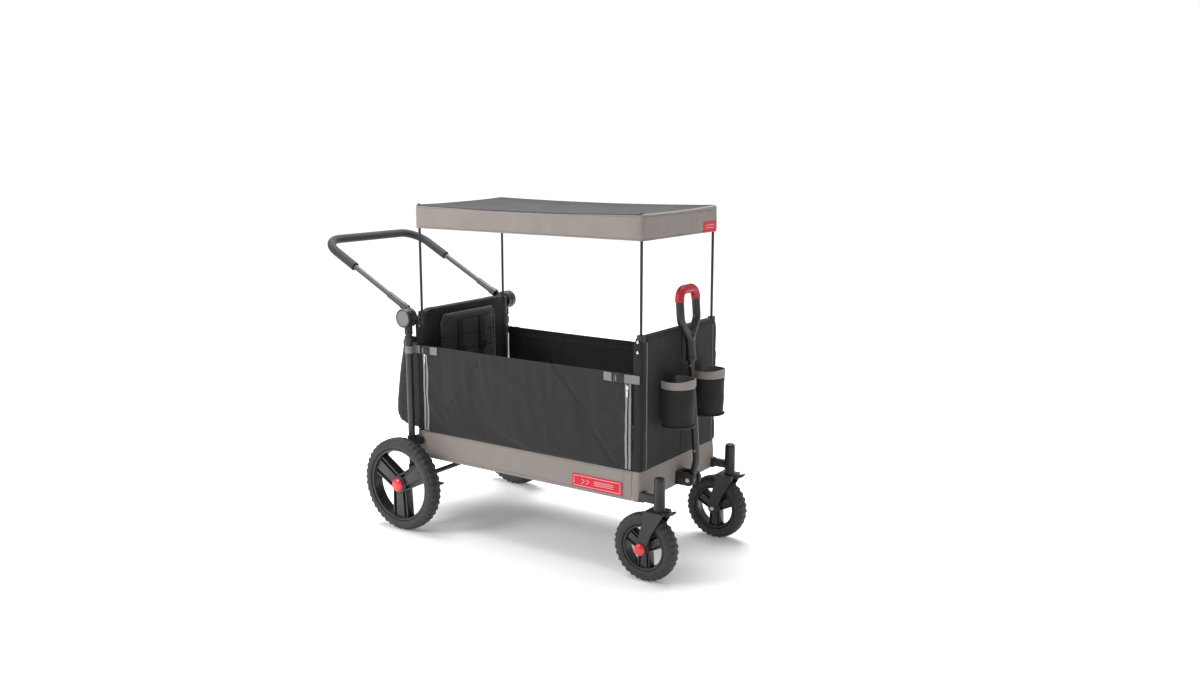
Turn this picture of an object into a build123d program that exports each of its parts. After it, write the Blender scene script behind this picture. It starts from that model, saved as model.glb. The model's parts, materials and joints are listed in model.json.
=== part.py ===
"""Folding wagon for children, with a canopy, a push handle behind and a pull handle in front.

+X is the direction of travel, +Z is up and the left side is +Y. Sub-parts are drawn with x from the
basket's rear face, y from the middle plane and z from the ground. write() then moves each one so that
the origin lies on the ground under the middle of the whole wagon.
"""
from build123d import *
import os
from math import cos, hypot, radians, sin

# Driving dimensions, in millimetres and degrees.
# Basket
basket_length = 870.0
basket_half_width = 224.0
base_low = 230.0
base_high = 319.0
side_top = 605.0
front_top = 714.0
rear_top = 720.0
rear_panel_depth = 34.0
front_panel_depth = 30.0
front_skin = 8.0
rear_corner_radius = 50.0
front_corner_radius = 14.0
cloth = 3.0
soft_gap = 0.6

# Frame tubes and posts
tube_wall = 1.5
leg_radius = 11.0
leg_clearance = 11.0
post_radius = 8.5
post_clearance = 9.0
frame_bend = 25.0
frame_low_z = 246.0
cross_tube_radius = 8.0
socket_radius = 12.0

# Floor, which folds up in the middle
hinge_rear_x = 62.0
hinge_front_inset = 38.0
floor_top = 268.0
mat_thickness = 10.0
board_thickness = 6.0
floor_tube_radius = 7.0
floor_side_gap = 4.0
floor_end_gap = 0.6
lug_radius = 6.0
hinge_pin_radius = 3.0
hinge_half_width = 20.0
hinge_y = 150.0
notch_depth = 25.0

# Rear wheels
rear_wheel_radius = 152.4
rear_wheel_gap = 12.5
rear_tyre_width = 52.0
rear_rim_outer = 120.0
rear_rim_inner = 111.5
rear_hub_radius = 30.0
rear_hub_half = 22.0
rear_spoke_width = 62.0
rear_axle_radius = 6.0
rear_bearing_radius = 14.0
rear_bearing_width = 8.0

# Casters
front_wheel_radius = 101.6
front_tyre_width = 46.0
front_rim_outer = 69.0
front_rim_inner = 61.0
front_hub_radius = 19.0
front_hub_half = 22.0
front_spoke_width = 38.0
front_axle_radius = 4.0
front_bearing_radius = 11.0
front_bearing_width = 7.0
caster_reach = 58.0
caster_inset = 9.0
caster_arm_width = 17.0
caster_trail = 43.0
stem_radius = 8.0
housing_radius = 16.5
housing_low = 217.0
housing_high = 314.0
crown_low = 206.5
fork_gap = 3.0
fork_wall = 7.0
fork_leg_radius = 15.0

# Push handle
hub_z = 694.0
hub_radius = 30.5
arm_clearance = 12.0
arm_offset = 9.0
arm_angle = 27.7
arm_reach = 467.6
sleeve_radius = 11.0
sleeve_end = 122.0
arm_radius = 8.5
foam_radius = 14.5
foam_start = 296.0
handle_bend = 75.0
button_radius = 26.5
button_travel = 4.0

# Canopy
rod_radius = 4.0
rod_rear_inset = 23.5
rod_front_inset = 12.5
canopy_low = 976.0
canopy_top = 1061.0
canopy_overhang = 12.0

# Pull handle
pull_pivot_reach = 42.0
pull_pivot_z = 254.0
pull_radius = 10.5
pull_inner_radius = 8.6
pull_bend_reach = 15.0
pull_bend_z = 312.0
pull_bend_radius = 70.0
pull_top_setback = 9.0
pull_top_z = 622.0
pull_overlap = 250.0
grip_top_z = 839.0
grip_half_width = 47.0
grip_radius = 12.5
grip_cover_radius = 14.5

# Cup pockets and rear bag
cup_radius = 53.0
cup_reach = 41.0
cup_y = 90.0
cup_low = 438.0
cup_high = 578.0
bag_half_width = 190.0
bag_low = 312.0
bag_top = 606.0
bag_depth_top = 112.0
bag_depth_low = 152.0

# Seat back and harness
pad_half_width = 140.0
pad_thickness = 13.0
strap_y = 54.0
strap_half_width = 13.0
strap_thickness = 2.0

# Side buckles
buckle_z = 590.0
webbing_half_width = 13.0
buckle_rear_x = 53.0
buckle_front_inset = 75.0

# Fits
running = 0.05
notch_count = 12
notch_ring = 23.0
brake_pin_radius = 2.5
brake_travel = 6.0

# Worked out from the values above
axle_x = 0.0
leg_y = basket_half_width + leg_clearance + leg_radius
post_y = basket_half_width - post_clearance - post_radius
arm_y = leg_y - leg_radius - arm_clearance
axle_block_inner = leg_y - leg_radius - 6.0
axle_block_outer = leg_y + leg_radius + 3.0
rear_wheel_y = axle_block_outer + rear_wheel_gap + rear_hub_half
caster_x = basket_length + caster_reach
caster_y = basket_half_width - caster_inset
pull_pivot_x = basket_length + pull_pivot_reach
pull_bend_x = pull_pivot_x + pull_bend_reach
pull_top_x = pull_pivot_x - pull_top_setback
cup_x = basket_length + cup_reach
buckle_front_x = basket_length - buckle_front_inset
axle_z = rear_wheel_radius
post_rear_x = rod_rear_inset
post_front_x = basket_length - rod_front_inset
front_panel_back = basket_length - front_panel_depth
floor_half_length = (basket_length - hinge_rear_x - hinge_front_inset) / 2
hinge_mid_x = hinge_rear_x + floor_half_length
hinge_front_x = hinge_rear_x + 2 * floor_half_length
board_high = floor_top - mat_thickness
board_low = board_high - board_thickness
floor_tube_z = board_low - floor_tube_radius
top_pin_z = floor_top + 0.5
low_pin_z = board_low - 2 * floor_tube_radius - 1.0
floor_half_width = basket_half_width - cloth - floor_side_gap
caster_axle_x = caster_x - caster_trail
arm_back = arm_reach * cos(radians(arm_angle)) - arm_offset * sin(radians(arm_angle))
origin_x = (caster_axle_x + front_wheel_radius - arm_back - foam_radius) / 2
rear_post_top = rear_top - rear_corner_radius
front_post_top = front_top - 30.0


# Shared shapes
def write(name, *shapes):
    """Moves one sub-part to the wagon's own frame and writes its solids to one STEP file."""
    solids = [Pos(-origin_x, 0, 0) * solid for shape in shapes for solid in shape.solids()]
    export_step(solids[0] if len(solids) == 1 else Compound(children=solids), f"parts/{name}.step")


def block(x0, x1, y0, y1, z0, z1):
    """A box between two corners, given in any order."""
    centre = Pos((x0 + x1) / 2, (y0 + y1) / 2, (z0 + z1) / 2)
    return centre * Box(abs(x1 - x0), abs(y1 - y0), abs(z1 - z0))


def rod(start, end, radius, bore=0.0):
    """A round bar or tube from one point to another."""
    start, end = Vector(*start), Vector(*end)
    section = Circle(radius) - Circle(bore) if bore else Circle(radius)
    return extrude(Plane(origin=start, z_dir=end - start) * section, (end - start).length)


def disc(x, y0, y1, z, radius, bore=0.0):
    """A disc or ring on an axis along Y."""
    return rod((x, y0, z), (x, y1, z), radius, bore)


def bent_tube(points, radius, bend, bore=0.0):
    """A tube along straight runs, with one bend radius."""
    path = FilletPolyline(*points, radius=bend)
    section = Circle(radius) - Circle(bore) if bore else Circle(radius)
    return sweep(Plane(origin=path @ 0, z_dir=path % 0) * section, path=path)


def link(p0, p1, radius, y0, y1):
    """A flat link with round ends between two points (x, z)."""
    length = hypot(p1[0] - p0[0], p1[1] - p0[1])
    plane = Plane(origin=((p0[0] + p1[0]) / 2, y0, (p0[1] + p1[1]) / 2),
                  x_dir=(p1[0] - p0[0], 0, p1[1] - p0[1]), z_dir=(0, 1 if y1 > y0 else -1, 0))
    return extrude(plane * SlotCenterToCenter(length, 2 * radius), abs(y1 - y0))


def joined(shapes):
    """One body made of several shapes."""
    body = shapes[0]
    for shape in shapes[1:]:
        body += shape
    return body


def both(make):
    """The same piece on the right and on the left: make takes -1 or 1."""
    return [make(-1), make(1)]


def side_name(s):
    return "left" if s > 0 else "right"


# Rear frame
axle_block_radius = 20.0
leg_foot = axle_z + 8.0
axle_seat_y = axle_block_inner + 10.0
brake_pin_x = axle_x + notch_ring
pedal_x = brake_pin_x + 20.0
pedal_z = axle_z - 6.0


def rear_leg(s):
    """A round leg tube from the axle block up into the handle's hub."""
    top = hub_z - hub_radius + 6
    return rod((axle_x, s * leg_y, leg_foot), (axle_x, s * leg_y, top), leg_radius, leg_radius - tube_wall)


def axle_block(s):
    """The moulded block at a leg's foot, bored for the leg, both axle tubes and the brake pin."""
    inner, outer = s * axle_block_inner, s * axle_block_outer
    body = disc(axle_x, inner, outer, axle_z, axle_block_radius)
    body += block(axle_x, brake_pin_x + 8, inner, outer, axle_z - 8, axle_z + 8)
    body += rod((axle_x, s * leg_y, axle_z), (axle_x, s * leg_y, leg_foot + 45), leg_radius + 2.5)
    body += link((brake_pin_x, axle_z), (pedal_x, pedal_z), 7, inner, inner + s * 8)
    body -= rod((axle_x, s * leg_y, leg_foot), (axle_x, s * leg_y, leg_foot + 46), leg_radius)
    body -= disc(axle_x, s * axle_seat_y, outer, axle_z, rear_axle_radius)
    body -= disc(axle_x, inner, s * axle_seat_y, axle_z, cross_tube_radius)
    body -= disc(brake_pin_x, inner - s, outer, axle_z, brake_pin_radius + running)
    return body - disc(pedal_x, inner, inner + s * 8, pedal_z, hinge_pin_radius)


def rear_cross_tube():
    return disc(axle_x, -axle_seat_y, axle_seat_y, axle_z, cross_tube_radius, cross_tube_radius - tube_wall)


def rear_axle(s):
    """A stub axle with its head outside the wheel and its spacer inside."""
    wheel_out = rear_wheel_y + rear_hub_half
    wheel_in = rear_wheel_y - rear_hub_half
    pin = disc(axle_x, s * axle_seat_y, s * (wheel_out + 0.5), axle_z, rear_axle_radius)
    head = disc(axle_x, s * (wheel_out + 0.5), s * (wheel_out + 3.5), axle_z, 10)
    spacer = disc(axle_x, s * axle_block_outer, s * (wheel_in - 0.5), axle_z, 9.5)
    return pin + head + spacer


def brake_pin(s):
    """The pin that is pushed into a notch of the wheel's hub."""
    tip = rear_wheel_y - rear_hub_half - 1.0
    return disc(brake_pin_x, s * (axle_block_inner - 4), s * tip, axle_z, brake_pin_radius)


def brake_pedal(s):
    """The foot pedal beside each leg, on its own pivot pin."""
    y0 = s * (axle_block_inner - 0.5)
    y1 = s * (axle_block_inner - 9)
    body = link((pedal_x, pedal_z), (pedal_x + 34, pedal_z - 8), 7, y0, y1)
    body += block(pedal_x + 20, pedal_x + 50, y0, s * (axle_block_inner - 30), pedal_z - 5, pedal_z + 1)
    return body - disc(pedal_x, y0, y1, pedal_z, hinge_pin_radius + running)


def brake_pivot(s):
    return disc(pedal_x, s * (axle_block_inner - 9), s * (axle_block_inner + 8), pedal_z, hinge_pin_radius)


def end_frame(x, top, bore=0.0):
    """The bent tube of an end frame: two posts and the cross tube that joins their feet."""
    points = [(x, -post_y, top), (x, -post_y, frame_low_z), (x, post_y, frame_low_z), (x, post_y, top)]
    return bent_tube(points, post_radius, frame_bend, bore)


def hinge_lugs(pin, foot, outer):
    """The lugs of both floor hinges on one side of a pin: tight outer pairs, or single ones that turn."""
    pieces = []
    hole = hinge_pin_radius + (0.0 if outer else running)
    for y in (-hinge_y, hinge_y):
        half, mid = hinge_half_width, hinge_half_width / 2
        spans = [(y - half, y - mid), (y + mid, y + half)] if outer else [(y - mid + 0.5, y + mid - 0.5)]
        for low, high in spans:
            lug = link(pin, foot, lug_radius, low, high)
            pieces.append(lug - disc(pin[0], low - 1, high + 1, pin[1], hole))
    return pieces


def end_frame_with_lugs(x, top, hinge_x):
    """An end frame with the outer lugs of the floor's hinges welded to its cross tube."""
    return joined([end_frame(x, top)] + hinge_lugs((hinge_x, top_pin_z), (x, frame_low_z), True))


def hinge_pins(x, z):
    half = hinge_half_width
    return [disc(x, y - half, y + half, z, hinge_pin_radius) for y in (-hinge_y, hinge_y)]


def leg_bracket(s, low, high):
    """A moulded bracket that joins a leg to its post."""
    body = rod((axle_x, s * leg_y, low), (axle_x, s * leg_y, high), leg_radius + 4)
    body += block(axle_x - 8, post_rear_x + 8, s * post_y, s * leg_y, low + 3, high - 3)
    body -= rod((axle_x, s * leg_y, low - 1), (axle_x, s * leg_y, high + 1), leg_radius)
    return body - rod((post_rear_x, s * post_y, low - 1), (post_rear_x, s * post_y, high + 1), post_radius)


lower_bracket = (base_high - 46, base_high - 18)
upper_bracket_z = rear_top - 98.0


def leg_clamp(s):
    """A clamp high on each leg, with a foot that rests on the rear panel's side."""
    z = upper_bracket_z
    body = rod((axle_x, s * leg_y, z - 11), (axle_x, s * leg_y, z + 11), leg_radius + 3)
    body += block(axle_x - 3, axle_x + 12, s * (basket_half_width - 3 + soft_gap), s * leg_y, z - 8, z + 8)
    return body - rod((axle_x, s * leg_y, z - 12), (axle_x, s * leg_y, z + 12), leg_radius)


def rod_socket(x, s, low, high, post_top):
    """A moulded socket that caps a post and holds the foot of a canopy rod."""
    body = rod((x, s * post_y, low), (x, s * post_y, high), socket_radius)
    body -= rod((x, s * post_y, low - 1), (x, s * post_y, post_top), post_radius)
    return body - rod((x, s * post_y, post_top + 4), (x, s * post_y, high + 1), rod_radius)


def canopy_rod(x, s, post_top):
    """An upright rod from its socket to just under the canopy's top sheet."""
    return rod((x, s * post_y, post_top + 4), (x, s * post_y, canopy_top - cloth - soft_gap), rod_radius)


rear_socket = (rear_post_top - 18, rear_top - 8)
front_socket = (front_post_top - 32, front_top + 1)


def socket_space(x, s, socket, top, radius=socket_radius):
    """The room that a socket and its post need in a panel."""
    body = rod((x, s * post_y, base_low), (x, s * post_y, top + 5), post_radius + soft_gap)
    return body + rod((x, s * post_y, socket[0] - soft_gap), (x, s * post_y, top + 5), radius + soft_gap)


def rear_panel():
    """The padded rear wall, its top corners rounded, with sleeves for the posts."""
    half = basket_half_width - 3
    low = base_high + soft_gap
    outline = Pos(0, (low + rear_top) / 2) * Rectangle(2 * half, rear_top - low)
    outline = fillet(outline.vertices().group_by(Axis.Y)[-1], rear_corner_radius)
    body = extrude(Plane(origin=(0, 0, 0), x_dir=(0, 1, 0), z_dir=(1, 0, 0)) * outline, rear_panel_depth)
    for s in (-1, 1):
        body -= socket_space(post_rear_x, s, rear_socket, rear_top)
    return body.solids().sort_by(SortBy.VOLUME)[-1]


def seat_pad():
    """The padded seat back on the front of the rear panel."""
    start = rear_panel_depth + soft_gap
    pad = block(start, start + pad_thickness, -pad_half_width, pad_half_width, floor_top + 45, rear_top - 22)
    return fillet(pad.edges().filter_by(Axis.X), 24)


pad_face = rear_panel_depth + soft_gap + pad_thickness
strap_low = floor_top + 140.0
strap_high = rear_top - 45.0


def harness_strap(s):
    y = s * strap_y
    half = strap_half_width
    return block(pad_face, pad_face + strap_thickness, y - half, y + half, strap_low, strap_high)


def harness_plate(s, low, high, proud):
    """A moulded adjuster or buckle on a shoulder strap."""
    y, half = s * strap_y, strap_half_width + 4
    start = pad_face + strap_thickness
    plate = block(start, start + proud, y - half, y + half, low, high)
    return fillet(plate.edges().filter_by(Axis.X), 4)


def rear_bag():
    """The open storage bag behind the basket, deeper at the bottom."""
    def outline(skin, top):
        back = -soft_gap - skin
        points = [(back, bag_low + skin), (-bag_depth_low + 14 + skin, bag_low + skin),
                  (-bag_depth_low + skin, bag_low + 22), (-bag_depth_top + skin, top), (back, top)]
        return make_face(Polyline(*points, close=True))
    outer = Plane(origin=(0, bag_half_width, 0), x_dir=(1, 0, 0), z_dir=(0, -1, 0))
    inner = Plane(origin=(0, bag_half_width - cloth, 0), x_dir=(1, 0, 0), z_dir=(0, -1, 0))
    body = extrude(outer * outline(0, bag_top), 2 * bag_half_width)
    return body - extrude(inner * outline(cloth, bag_top + 5), 2 * (bag_half_width - cloth))


# Sides and base of the basket
def side_wall(s):
    """One fabric side wall between the corner posts."""
    y = s * basket_half_width
    return block(rear_panel_depth + soft_gap, front_panel_back - soft_gap, y, y - s * cloth,
                 base_high + soft_gap, side_top)


def base_band(s):
    """The heavier fabric band under a side wall."""
    y = s * basket_half_width
    start = rear_panel_depth + soft_gap
    return block(start, front_panel_back - soft_gap, y, y - s * cloth, base_low, base_high)


def base_band_rear():
    """The rear stretch of the base band, with short returns to the side bands."""
    body = block(0, rear_panel_depth, -basket_half_width, basket_half_width, base_low, base_high)
    body -= block(cloth, rear_panel_depth + 1, cloth - basket_half_width, basket_half_width - cloth,
                  base_low - 1, base_high + 1)
    low, high = lower_bracket
    for s in (-1, 1):
        body -= block(axle_x - 20, rear_panel_depth + 1, s * (post_y - 1), s * (leg_y + 20),
                      low + 2, high - 2)
    return body


arm_inner = caster_y - caster_arm_width
caster_arm_low = 231.0
caster_arm_high = 262.0
bracket_half = 24.0
bracket_low = 235.0
bracket_high = 274.0


def base_band_front():
    """The front stretch of the base band, open where the caster arms and the pull bracket pass."""
    outer = block(front_panel_back, basket_length, -basket_half_width, basket_half_width, base_low, base_high)
    outer = fillet(outer.edges().filter_by(Axis.Z).group_by(Axis.X)[-1], front_corner_radius)
    half = basket_half_width - cloth
    inner = block(front_panel_back - 1, basket_length - cloth, -half, half, base_low - 1, base_high + 1)
    inner = fillet(inner.edges().filter_by(Axis.Z).group_by(Axis.X)[-1], front_corner_radius - cloth)
    reach = (basket_length - 25, basket_length + 5)
    band = outer - inner - block(*reach, -bracket_half - 1, bracket_half + 1, base_low - 1, bracket_high + 1)
    for s in (-1, 1):
        band -= block(*reach, s * (arm_inner - 1), s * (basket_half_width + 1), base_low - 1,
                      caster_arm_high + 1)
    return band


# Floor
def notched(shape, x, direction):
    """A floor board or mat with room for the lugs of the hinges at one end."""
    half = hinge_half_width + 3
    for y in (-hinge_y, hinge_y):
        shape -= block(x - direction * 5, x + direction * notch_depth, y - half, y + half,
                       board_low - 1, floor_top + 1)
    return shape


def floor_sheet(x0, x1, low, high, hinge_x, direction):
    sheet = block(x0, x1, -floor_half_width, floor_half_width, low, high)
    return notched(sheet, hinge_x, direction)


def floor_frame(x0, x1, top_hinge_x, direction, mid_outer):
    """The welded tube frame under one half of the floor, with its hinge lugs."""
    y = floor_half_width - 20
    tubes = [rod((x0, s * y, floor_tube_z), (x1, s * y, floor_tube_z), floor_tube_radius) for s in (-1, 1)]
    for x in (x0 + 15, (x0 + x1) / 2, x1 - 15):
        tubes.append(disc(x, -y, y, floor_tube_z, floor_tube_radius - 1))
    tubes += hinge_lugs((top_hinge_x, top_pin_z), (top_hinge_x + direction * 15, floor_tube_z), False)
    low_pin, low_foot = (hinge_mid_x, low_pin_z), (hinge_mid_x - direction * 15, floor_tube_z)
    return joined(tubes + hinge_lugs(low_pin, low_foot, mid_outer))


# Front frame
def front_panel():
    """The front wall: a skin between two rounded post covers, with sleeves for the posts."""
    body = block(front_panel_back, basket_length, -basket_half_width, basket_half_width,
                 base_high + soft_gap, front_top)
    body = fillet(body.edges().filter_by(Axis.Z).group_by(Axis.X)[-1], front_corner_radius)
    cover = post_y - 18
    body -= block(front_panel_back - 1, basket_length - front_skin, -cover, cover,
                  base_high - 1, front_top + 1)
    for s in (-1, 1):
        body -= socket_space(post_front_x, s, front_socket, front_top)
    return body.solids().sort_by(SortBy.VOLUME)[-1]


def cup_pocket(s):
    """A round pocket for a cup on the front panel, flat where it is sewn on."""
    back = basket_length + soft_gap
    y = s * cup_y

    def filled(skin, low, high):
        radius = cup_radius - skin
        body = rod((cup_x, y, low), (cup_x, y, high), radius)
        body += block(back, cup_x, y - radius, y + radius, low, high)
        return body - block(back - 100, back + skin, y - 100, y + 100, low - 1, high + 1)
    return filled(0, cup_low, cup_high) - filled(cloth, cup_low + cloth, cup_high + 1)


def caster_mount(s):
    """The moulded arm from the front frame's corner to the swivel housing, in one piece with it."""
    y = s * caster_y
    housing = rod((caster_x, y, housing_low), (caster_x, y, housing_high), housing_radius)
    housing = fillet(housing.edges().group_by(Axis.Z)[-1], 4)
    foot = block(post_front_x - 14, basket_length + 8, s * arm_inner, s * (basket_half_width - cloth - 0.5),
                 caster_arm_low, caster_arm_high)
    web = block(basket_length, caster_x, y - s * 9, y + s * 6, caster_arm_low + 3, caster_arm_high - 3)
    body = foot + web + housing
    body -= rod((caster_x, y, housing_low - 1), (caster_x, y, housing_high - 10), stem_radius + running)
    return body - end_frame(post_front_x, front_post_top)


def pull_bracket():
    """The clevis on the front cross tube that holds the pull handle's foot."""
    gap = pull_radius + 3.0
    mid = (bracket_low + bracket_high) / 2
    body = block(post_front_x - 14, pull_pivot_x, -bracket_half, bracket_half, bracket_low, bracket_high)
    body += disc(pull_pivot_x, -bracket_half, bracket_half, mid, (bracket_high - bracket_low) / 2)
    body -= block(basket_length + 14, pull_pivot_x + 60, -gap, gap, bracket_low - 1, bracket_high + 1)
    body -= disc(pull_pivot_x, -bracket_half, bracket_half, pull_pivot_z, 4)
    return body - end_frame(post_front_x, front_post_top)


def pull_pin():
    pin = disc(pull_pivot_x, -bracket_half, bracket_half, pull_pivot_z, 4)
    head = disc(pull_pivot_x, bracket_half, bracket_half + 3, pull_pivot_z, 7)
    nut = disc(pull_pivot_x, -bracket_half, -bracket_half - 4, pull_pivot_z, 6.5)
    return pin + head + nut


# Pull handle. Distances along its straight shaft are measured up from the bend.
pull_length = hypot(pull_bend_x - pull_top_x, pull_top_z - pull_bend_z)
pull_dir = Vector((pull_top_x - pull_bend_x) / pull_length, 0, (pull_top_z - pull_bend_z) / pull_length)
pull_mouth = pull_length - 60.0
grip_bottom = pull_length + 54.0
grip_shoulder = pull_length + 115.0
grip_bar = pull_length + (grip_top_z - pull_top_z) / pull_dir.Z - grip_radius


def on_pull(distance, y=0.0):
    """A point at a distance along the shaft, and to the side by y."""
    p = Vector(pull_bend_x, y, pull_bend_z) + pull_dir * distance
    return (p.X, p.Y, p.Z)


def pull_lower_tube():
    """The outer tube of the pull handle, from its eye round the bend and up to the collar."""
    points = [(pull_pivot_x, 0, pull_pivot_z), (pull_bend_x, 0, pull_bend_z), on_pull(pull_mouth)]
    body = bent_tube(points, pull_radius, pull_bend_radius)
    body += disc(pull_pivot_x, -pull_radius - 1.5, pull_radius + 1.5, pull_pivot_z, 13)
    body -= disc(pull_pivot_x, -20, 20, pull_pivot_z, 4 + running)
    bore = pull_inner_radius + running
    return body - rod(on_pull(pull_mouth - pull_overlap), on_pull(pull_mouth + 1), bore)


def pull_collar():
    """The moulded collar with the latch at the top of the outer tube."""
    body = rod(on_pull(pull_mouth - 25), on_pull(pull_mouth + 4), pull_radius + 3)
    body -= rod(on_pull(pull_mouth - 26), on_pull(pull_mouth), pull_radius)
    return body - rod(on_pull(pull_mouth - 1), on_pull(pull_mouth + 5), pull_inner_radius + running)


def pull_inner_tube():
    """The inner tube, which slides in the outer one and ends in the grip's neck."""
    low = pull_mouth - pull_overlap + 10
    return rod(on_pull(low), on_pull(pull_length + 35), pull_inner_radius, pull_inner_radius - tube_wall)


def pull_grip():
    """The grip's neck and its D-shaped loop."""
    neck = rod(on_pull(pull_length - 8), on_pull(grip_bottom + 6), 14.5)
    half = grip_half_width
    corners = [(grip_bottom, 0), (grip_shoulder, half), (grip_bar, half), (grip_bar, -half),
               (grip_shoulder, -half)]
    path = FilletPolyline(*[on_pull(a, b) for a, b in corners], radius=28, close=True)
    start = Plane(origin=path @ 0, z_dir=path % 0)
    loop = sweep(start * Circle(grip_radius), path=path)
    return neck + loop - rod(on_pull(pull_length - 9), on_pull(pull_length + 35), pull_inner_radius)


def grip_cover():
    """The coloured cover over the grip's top bar."""
    reach = grip_half_width - 28
    return rod(on_pull(grip_bar, -reach), on_pull(grip_bar, reach), grip_cover_radius, grip_radius)


# Push handle. Distances along its arms are measured from the hub.
arm_dir = Vector(-cos(radians(arm_angle)), 0, sin(radians(arm_angle)))
arm_up = Vector(sin(radians(arm_angle)), 0, cos(radians(arm_angle)))
eye_inner = arm_y + 1.5
eye_outer = leg_y - leg_radius - 2.5
hub_inner = eye_outer + 0.5
hub_middle = leg_y + leg_radius
hub_outer = hub_middle + 15.0
hub_bolt_radius = 5.0


def on_arm(distance, y):
    """A point at a distance along an arm of the push handle."""
    p = Vector(axle_x, y, hub_z) + arm_dir * distance + arm_up * arm_offset
    return (p.X, p.Y, p.Z)


def hub_housing(s):
    """The fixed half of a hub: a drum on the leg's top with a recess for the button."""
    body = disc(axle_x, s * hub_inner, s * hub_outer, hub_z, hub_radius)
    body += rod((axle_x, s * leg_y, hub_z - hub_radius - 22), (axle_x, s * leg_y, hub_z), leg_radius + 1.7)
    body -= disc(axle_x, s * hub_middle, s * (hub_outer + 1), hub_z, button_radius + 0.3)
    collar_low = hub_z - hub_radius - 23
    body -= rod((axle_x, s * leg_y, collar_low), (axle_x, s * leg_y, hub_z - hub_radius + 6), leg_radius)
    return body - disc(axle_x, s * (hub_inner - 1), s * (hub_middle - 4), hub_z, hub_bolt_radius)


def hub_button(s):
    """The round button that frees the hub's teeth."""
    body = disc(axle_x, s * (hub_middle + button_travel + 0.5), s * (hub_outer + 1.0), hub_z, button_radius)
    return fillet(body.edges().group_by(Axis.Y)[-1 if s > 0 else 0], 1.5)


def hub_bolt(s):
    pin = disc(axle_x, s * (eye_inner - 0.5), s * (hub_middle - 4), hub_z, hub_bolt_radius)
    return pin + disc(axle_x, s * (eye_inner - 3.5), s * (eye_inner - 0.5), hub_z, 8)


def arm_socket(s):
    """The turning half of a hub: a flat eye on the bolt and the socket for an arm."""
    arm_point = on_arm(40, s * arm_y)
    body = disc(axle_x, s * eye_inner, s * eye_outer, hub_z, 20)
    body += link((axle_x, hub_z), (arm_point[0], arm_point[2]), 12, s * eye_inner, s * eye_outer)
    body += rod(on_arm(33, s * arm_y), on_arm(56, s * arm_y), 12.8)
    body -= rod(on_arm(38, s * arm_y), on_arm(57, s * arm_y), sleeve_radius)
    return body - disc(axle_x, s * (eye_inner - 1), s * (eye_outer + 1), hub_z, hub_bolt_radius + running)


def arm_sleeve(s):
    return rod(on_arm(38, s * arm_y), on_arm(sleeve_end, s * arm_y), sleeve_radius, arm_radius)


def handle_run(start, radius, bore):
    """The U of the push handle from a distance along one arm round to the same on the other."""
    ends = [(start, -arm_y), (arm_reach, -arm_y), (arm_reach, arm_y), (start, arm_y)]
    points = [on_arm(*end) for end in ends]
    return bent_tube(points, radius, handle_bend, bore)


# Wheels, drawn on an axis along Y and moved to their places
def tyre(radius, seat, width, y):
    """A tyre with rounded shoulders, standing on the ground at x = 0."""
    body = disc(0, y - width / 2, y + width / 2, radius, radius, seat)
    shoulders = body.edges().filter_by(GeomType.CIRCLE).sort_by(SortBy.RADIUS)[-2:]
    return fillet(shoulders, width * 0.3)


def spokes(x, y, z, reach, width, half):
    """Three broad spokes, one straight down, each with two pockets on both faces."""
    body = None
    rib, flange, depth = width * 0.13, width * 0.11, half * 0.55
    pocket = (width - rib - 2 * flange) / 2
    for angle in (0, 120, 240):
        spoke = block(x - width / 2, x + width / 2, y - half, y + half, z - reach, z)
        for side in (-1, 1):
            centre = x + side * (rib + pocket) / 2
            for face in (-1, 1):
                spoke -= block(centre - pocket / 2, centre + pocket / 2, y + face * half,
                               y + face * (half - depth), z - reach - 1, z - width * 0.62)
        spoke = Pos(x, 0, z) * Rot(0, angle, 0) * Pos(-x, 0, -z) * spoke
        body = spoke if body is None else body + spoke
    return body


def rim(x, y, z, outer, inner, width, hub, hub_half, spoke_width, axle, bearing):
    """A moulded rim with its hub and spokes, bored for the axle and a bearing at each end."""
    bearing_radius, bearing_width = bearing
    body = disc(x, y - width / 2, y + width / 2, z, outer, inner)
    body += spokes(x, y, z, inner + 2, spoke_width, width * 0.36)
    body += disc(x, y - hub_half, y + hub_half, z, hub)
    body -= disc(x, y - hub_half - 1, y + hub_half + 1, z, axle + 1.5)
    for face in (-1, 1):
        body -= disc(x, y + face * hub_half, y + face * (hub_half - bearing_width), z, bearing_radius)
    return body


def bearings(x, y, z, hub_half, axle, bearing):
    """Two ball bearings, as closed rings in the ends of the hub."""
    radius, width = bearing
    return [disc(x, y + face * hub_half, y + face * (hub_half - width), z, radius, axle + running)
            for face in (-1, 1)]


rear_bearing = (rear_bearing_radius, rear_bearing_width)
front_bearing = (front_bearing_radius, front_bearing_width)


def rear_rim(s):
    """A rear rim, with a ring of notches for the brake pin in its inner face."""
    y = s * rear_wheel_y
    body = rim(axle_x, y, axle_z, rear_rim_outer, rear_rim_inner, rear_tyre_width - 10, rear_hub_radius,
               rear_hub_half, rear_spoke_width, rear_axle_radius, rear_bearing)
    face = s * (rear_wheel_y - rear_hub_half)
    for i in range(notch_count):
        turn = radians(i * 360 / notch_count)
        at_x, at_z = axle_x + notch_ring * cos(turn), axle_z + notch_ring * sin(turn)
        body -= disc(at_x, face - s, face + s * (brake_travel + 1), at_z, brake_pin_radius + 0.8)
    return body


def dome_cap(x, y, z, radius, height, s):
    """A domed cap that faces outwards."""
    body = disc(x, y, y + s * height, z, radius)
    return fillet(body.edges().group_by(Axis.Y)[-1 if s > 0 else 0], height * 0.8)


def rear_cap(s):
    """The coloured cap over the axle's head, hollow where the head is."""
    face = s * (rear_wheel_y + rear_hub_half)
    return dome_cap(axle_x, face, axle_z, 22, 11, s) - disc(axle_x, face - s, face + s * 5, axle_z, 12)


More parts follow.
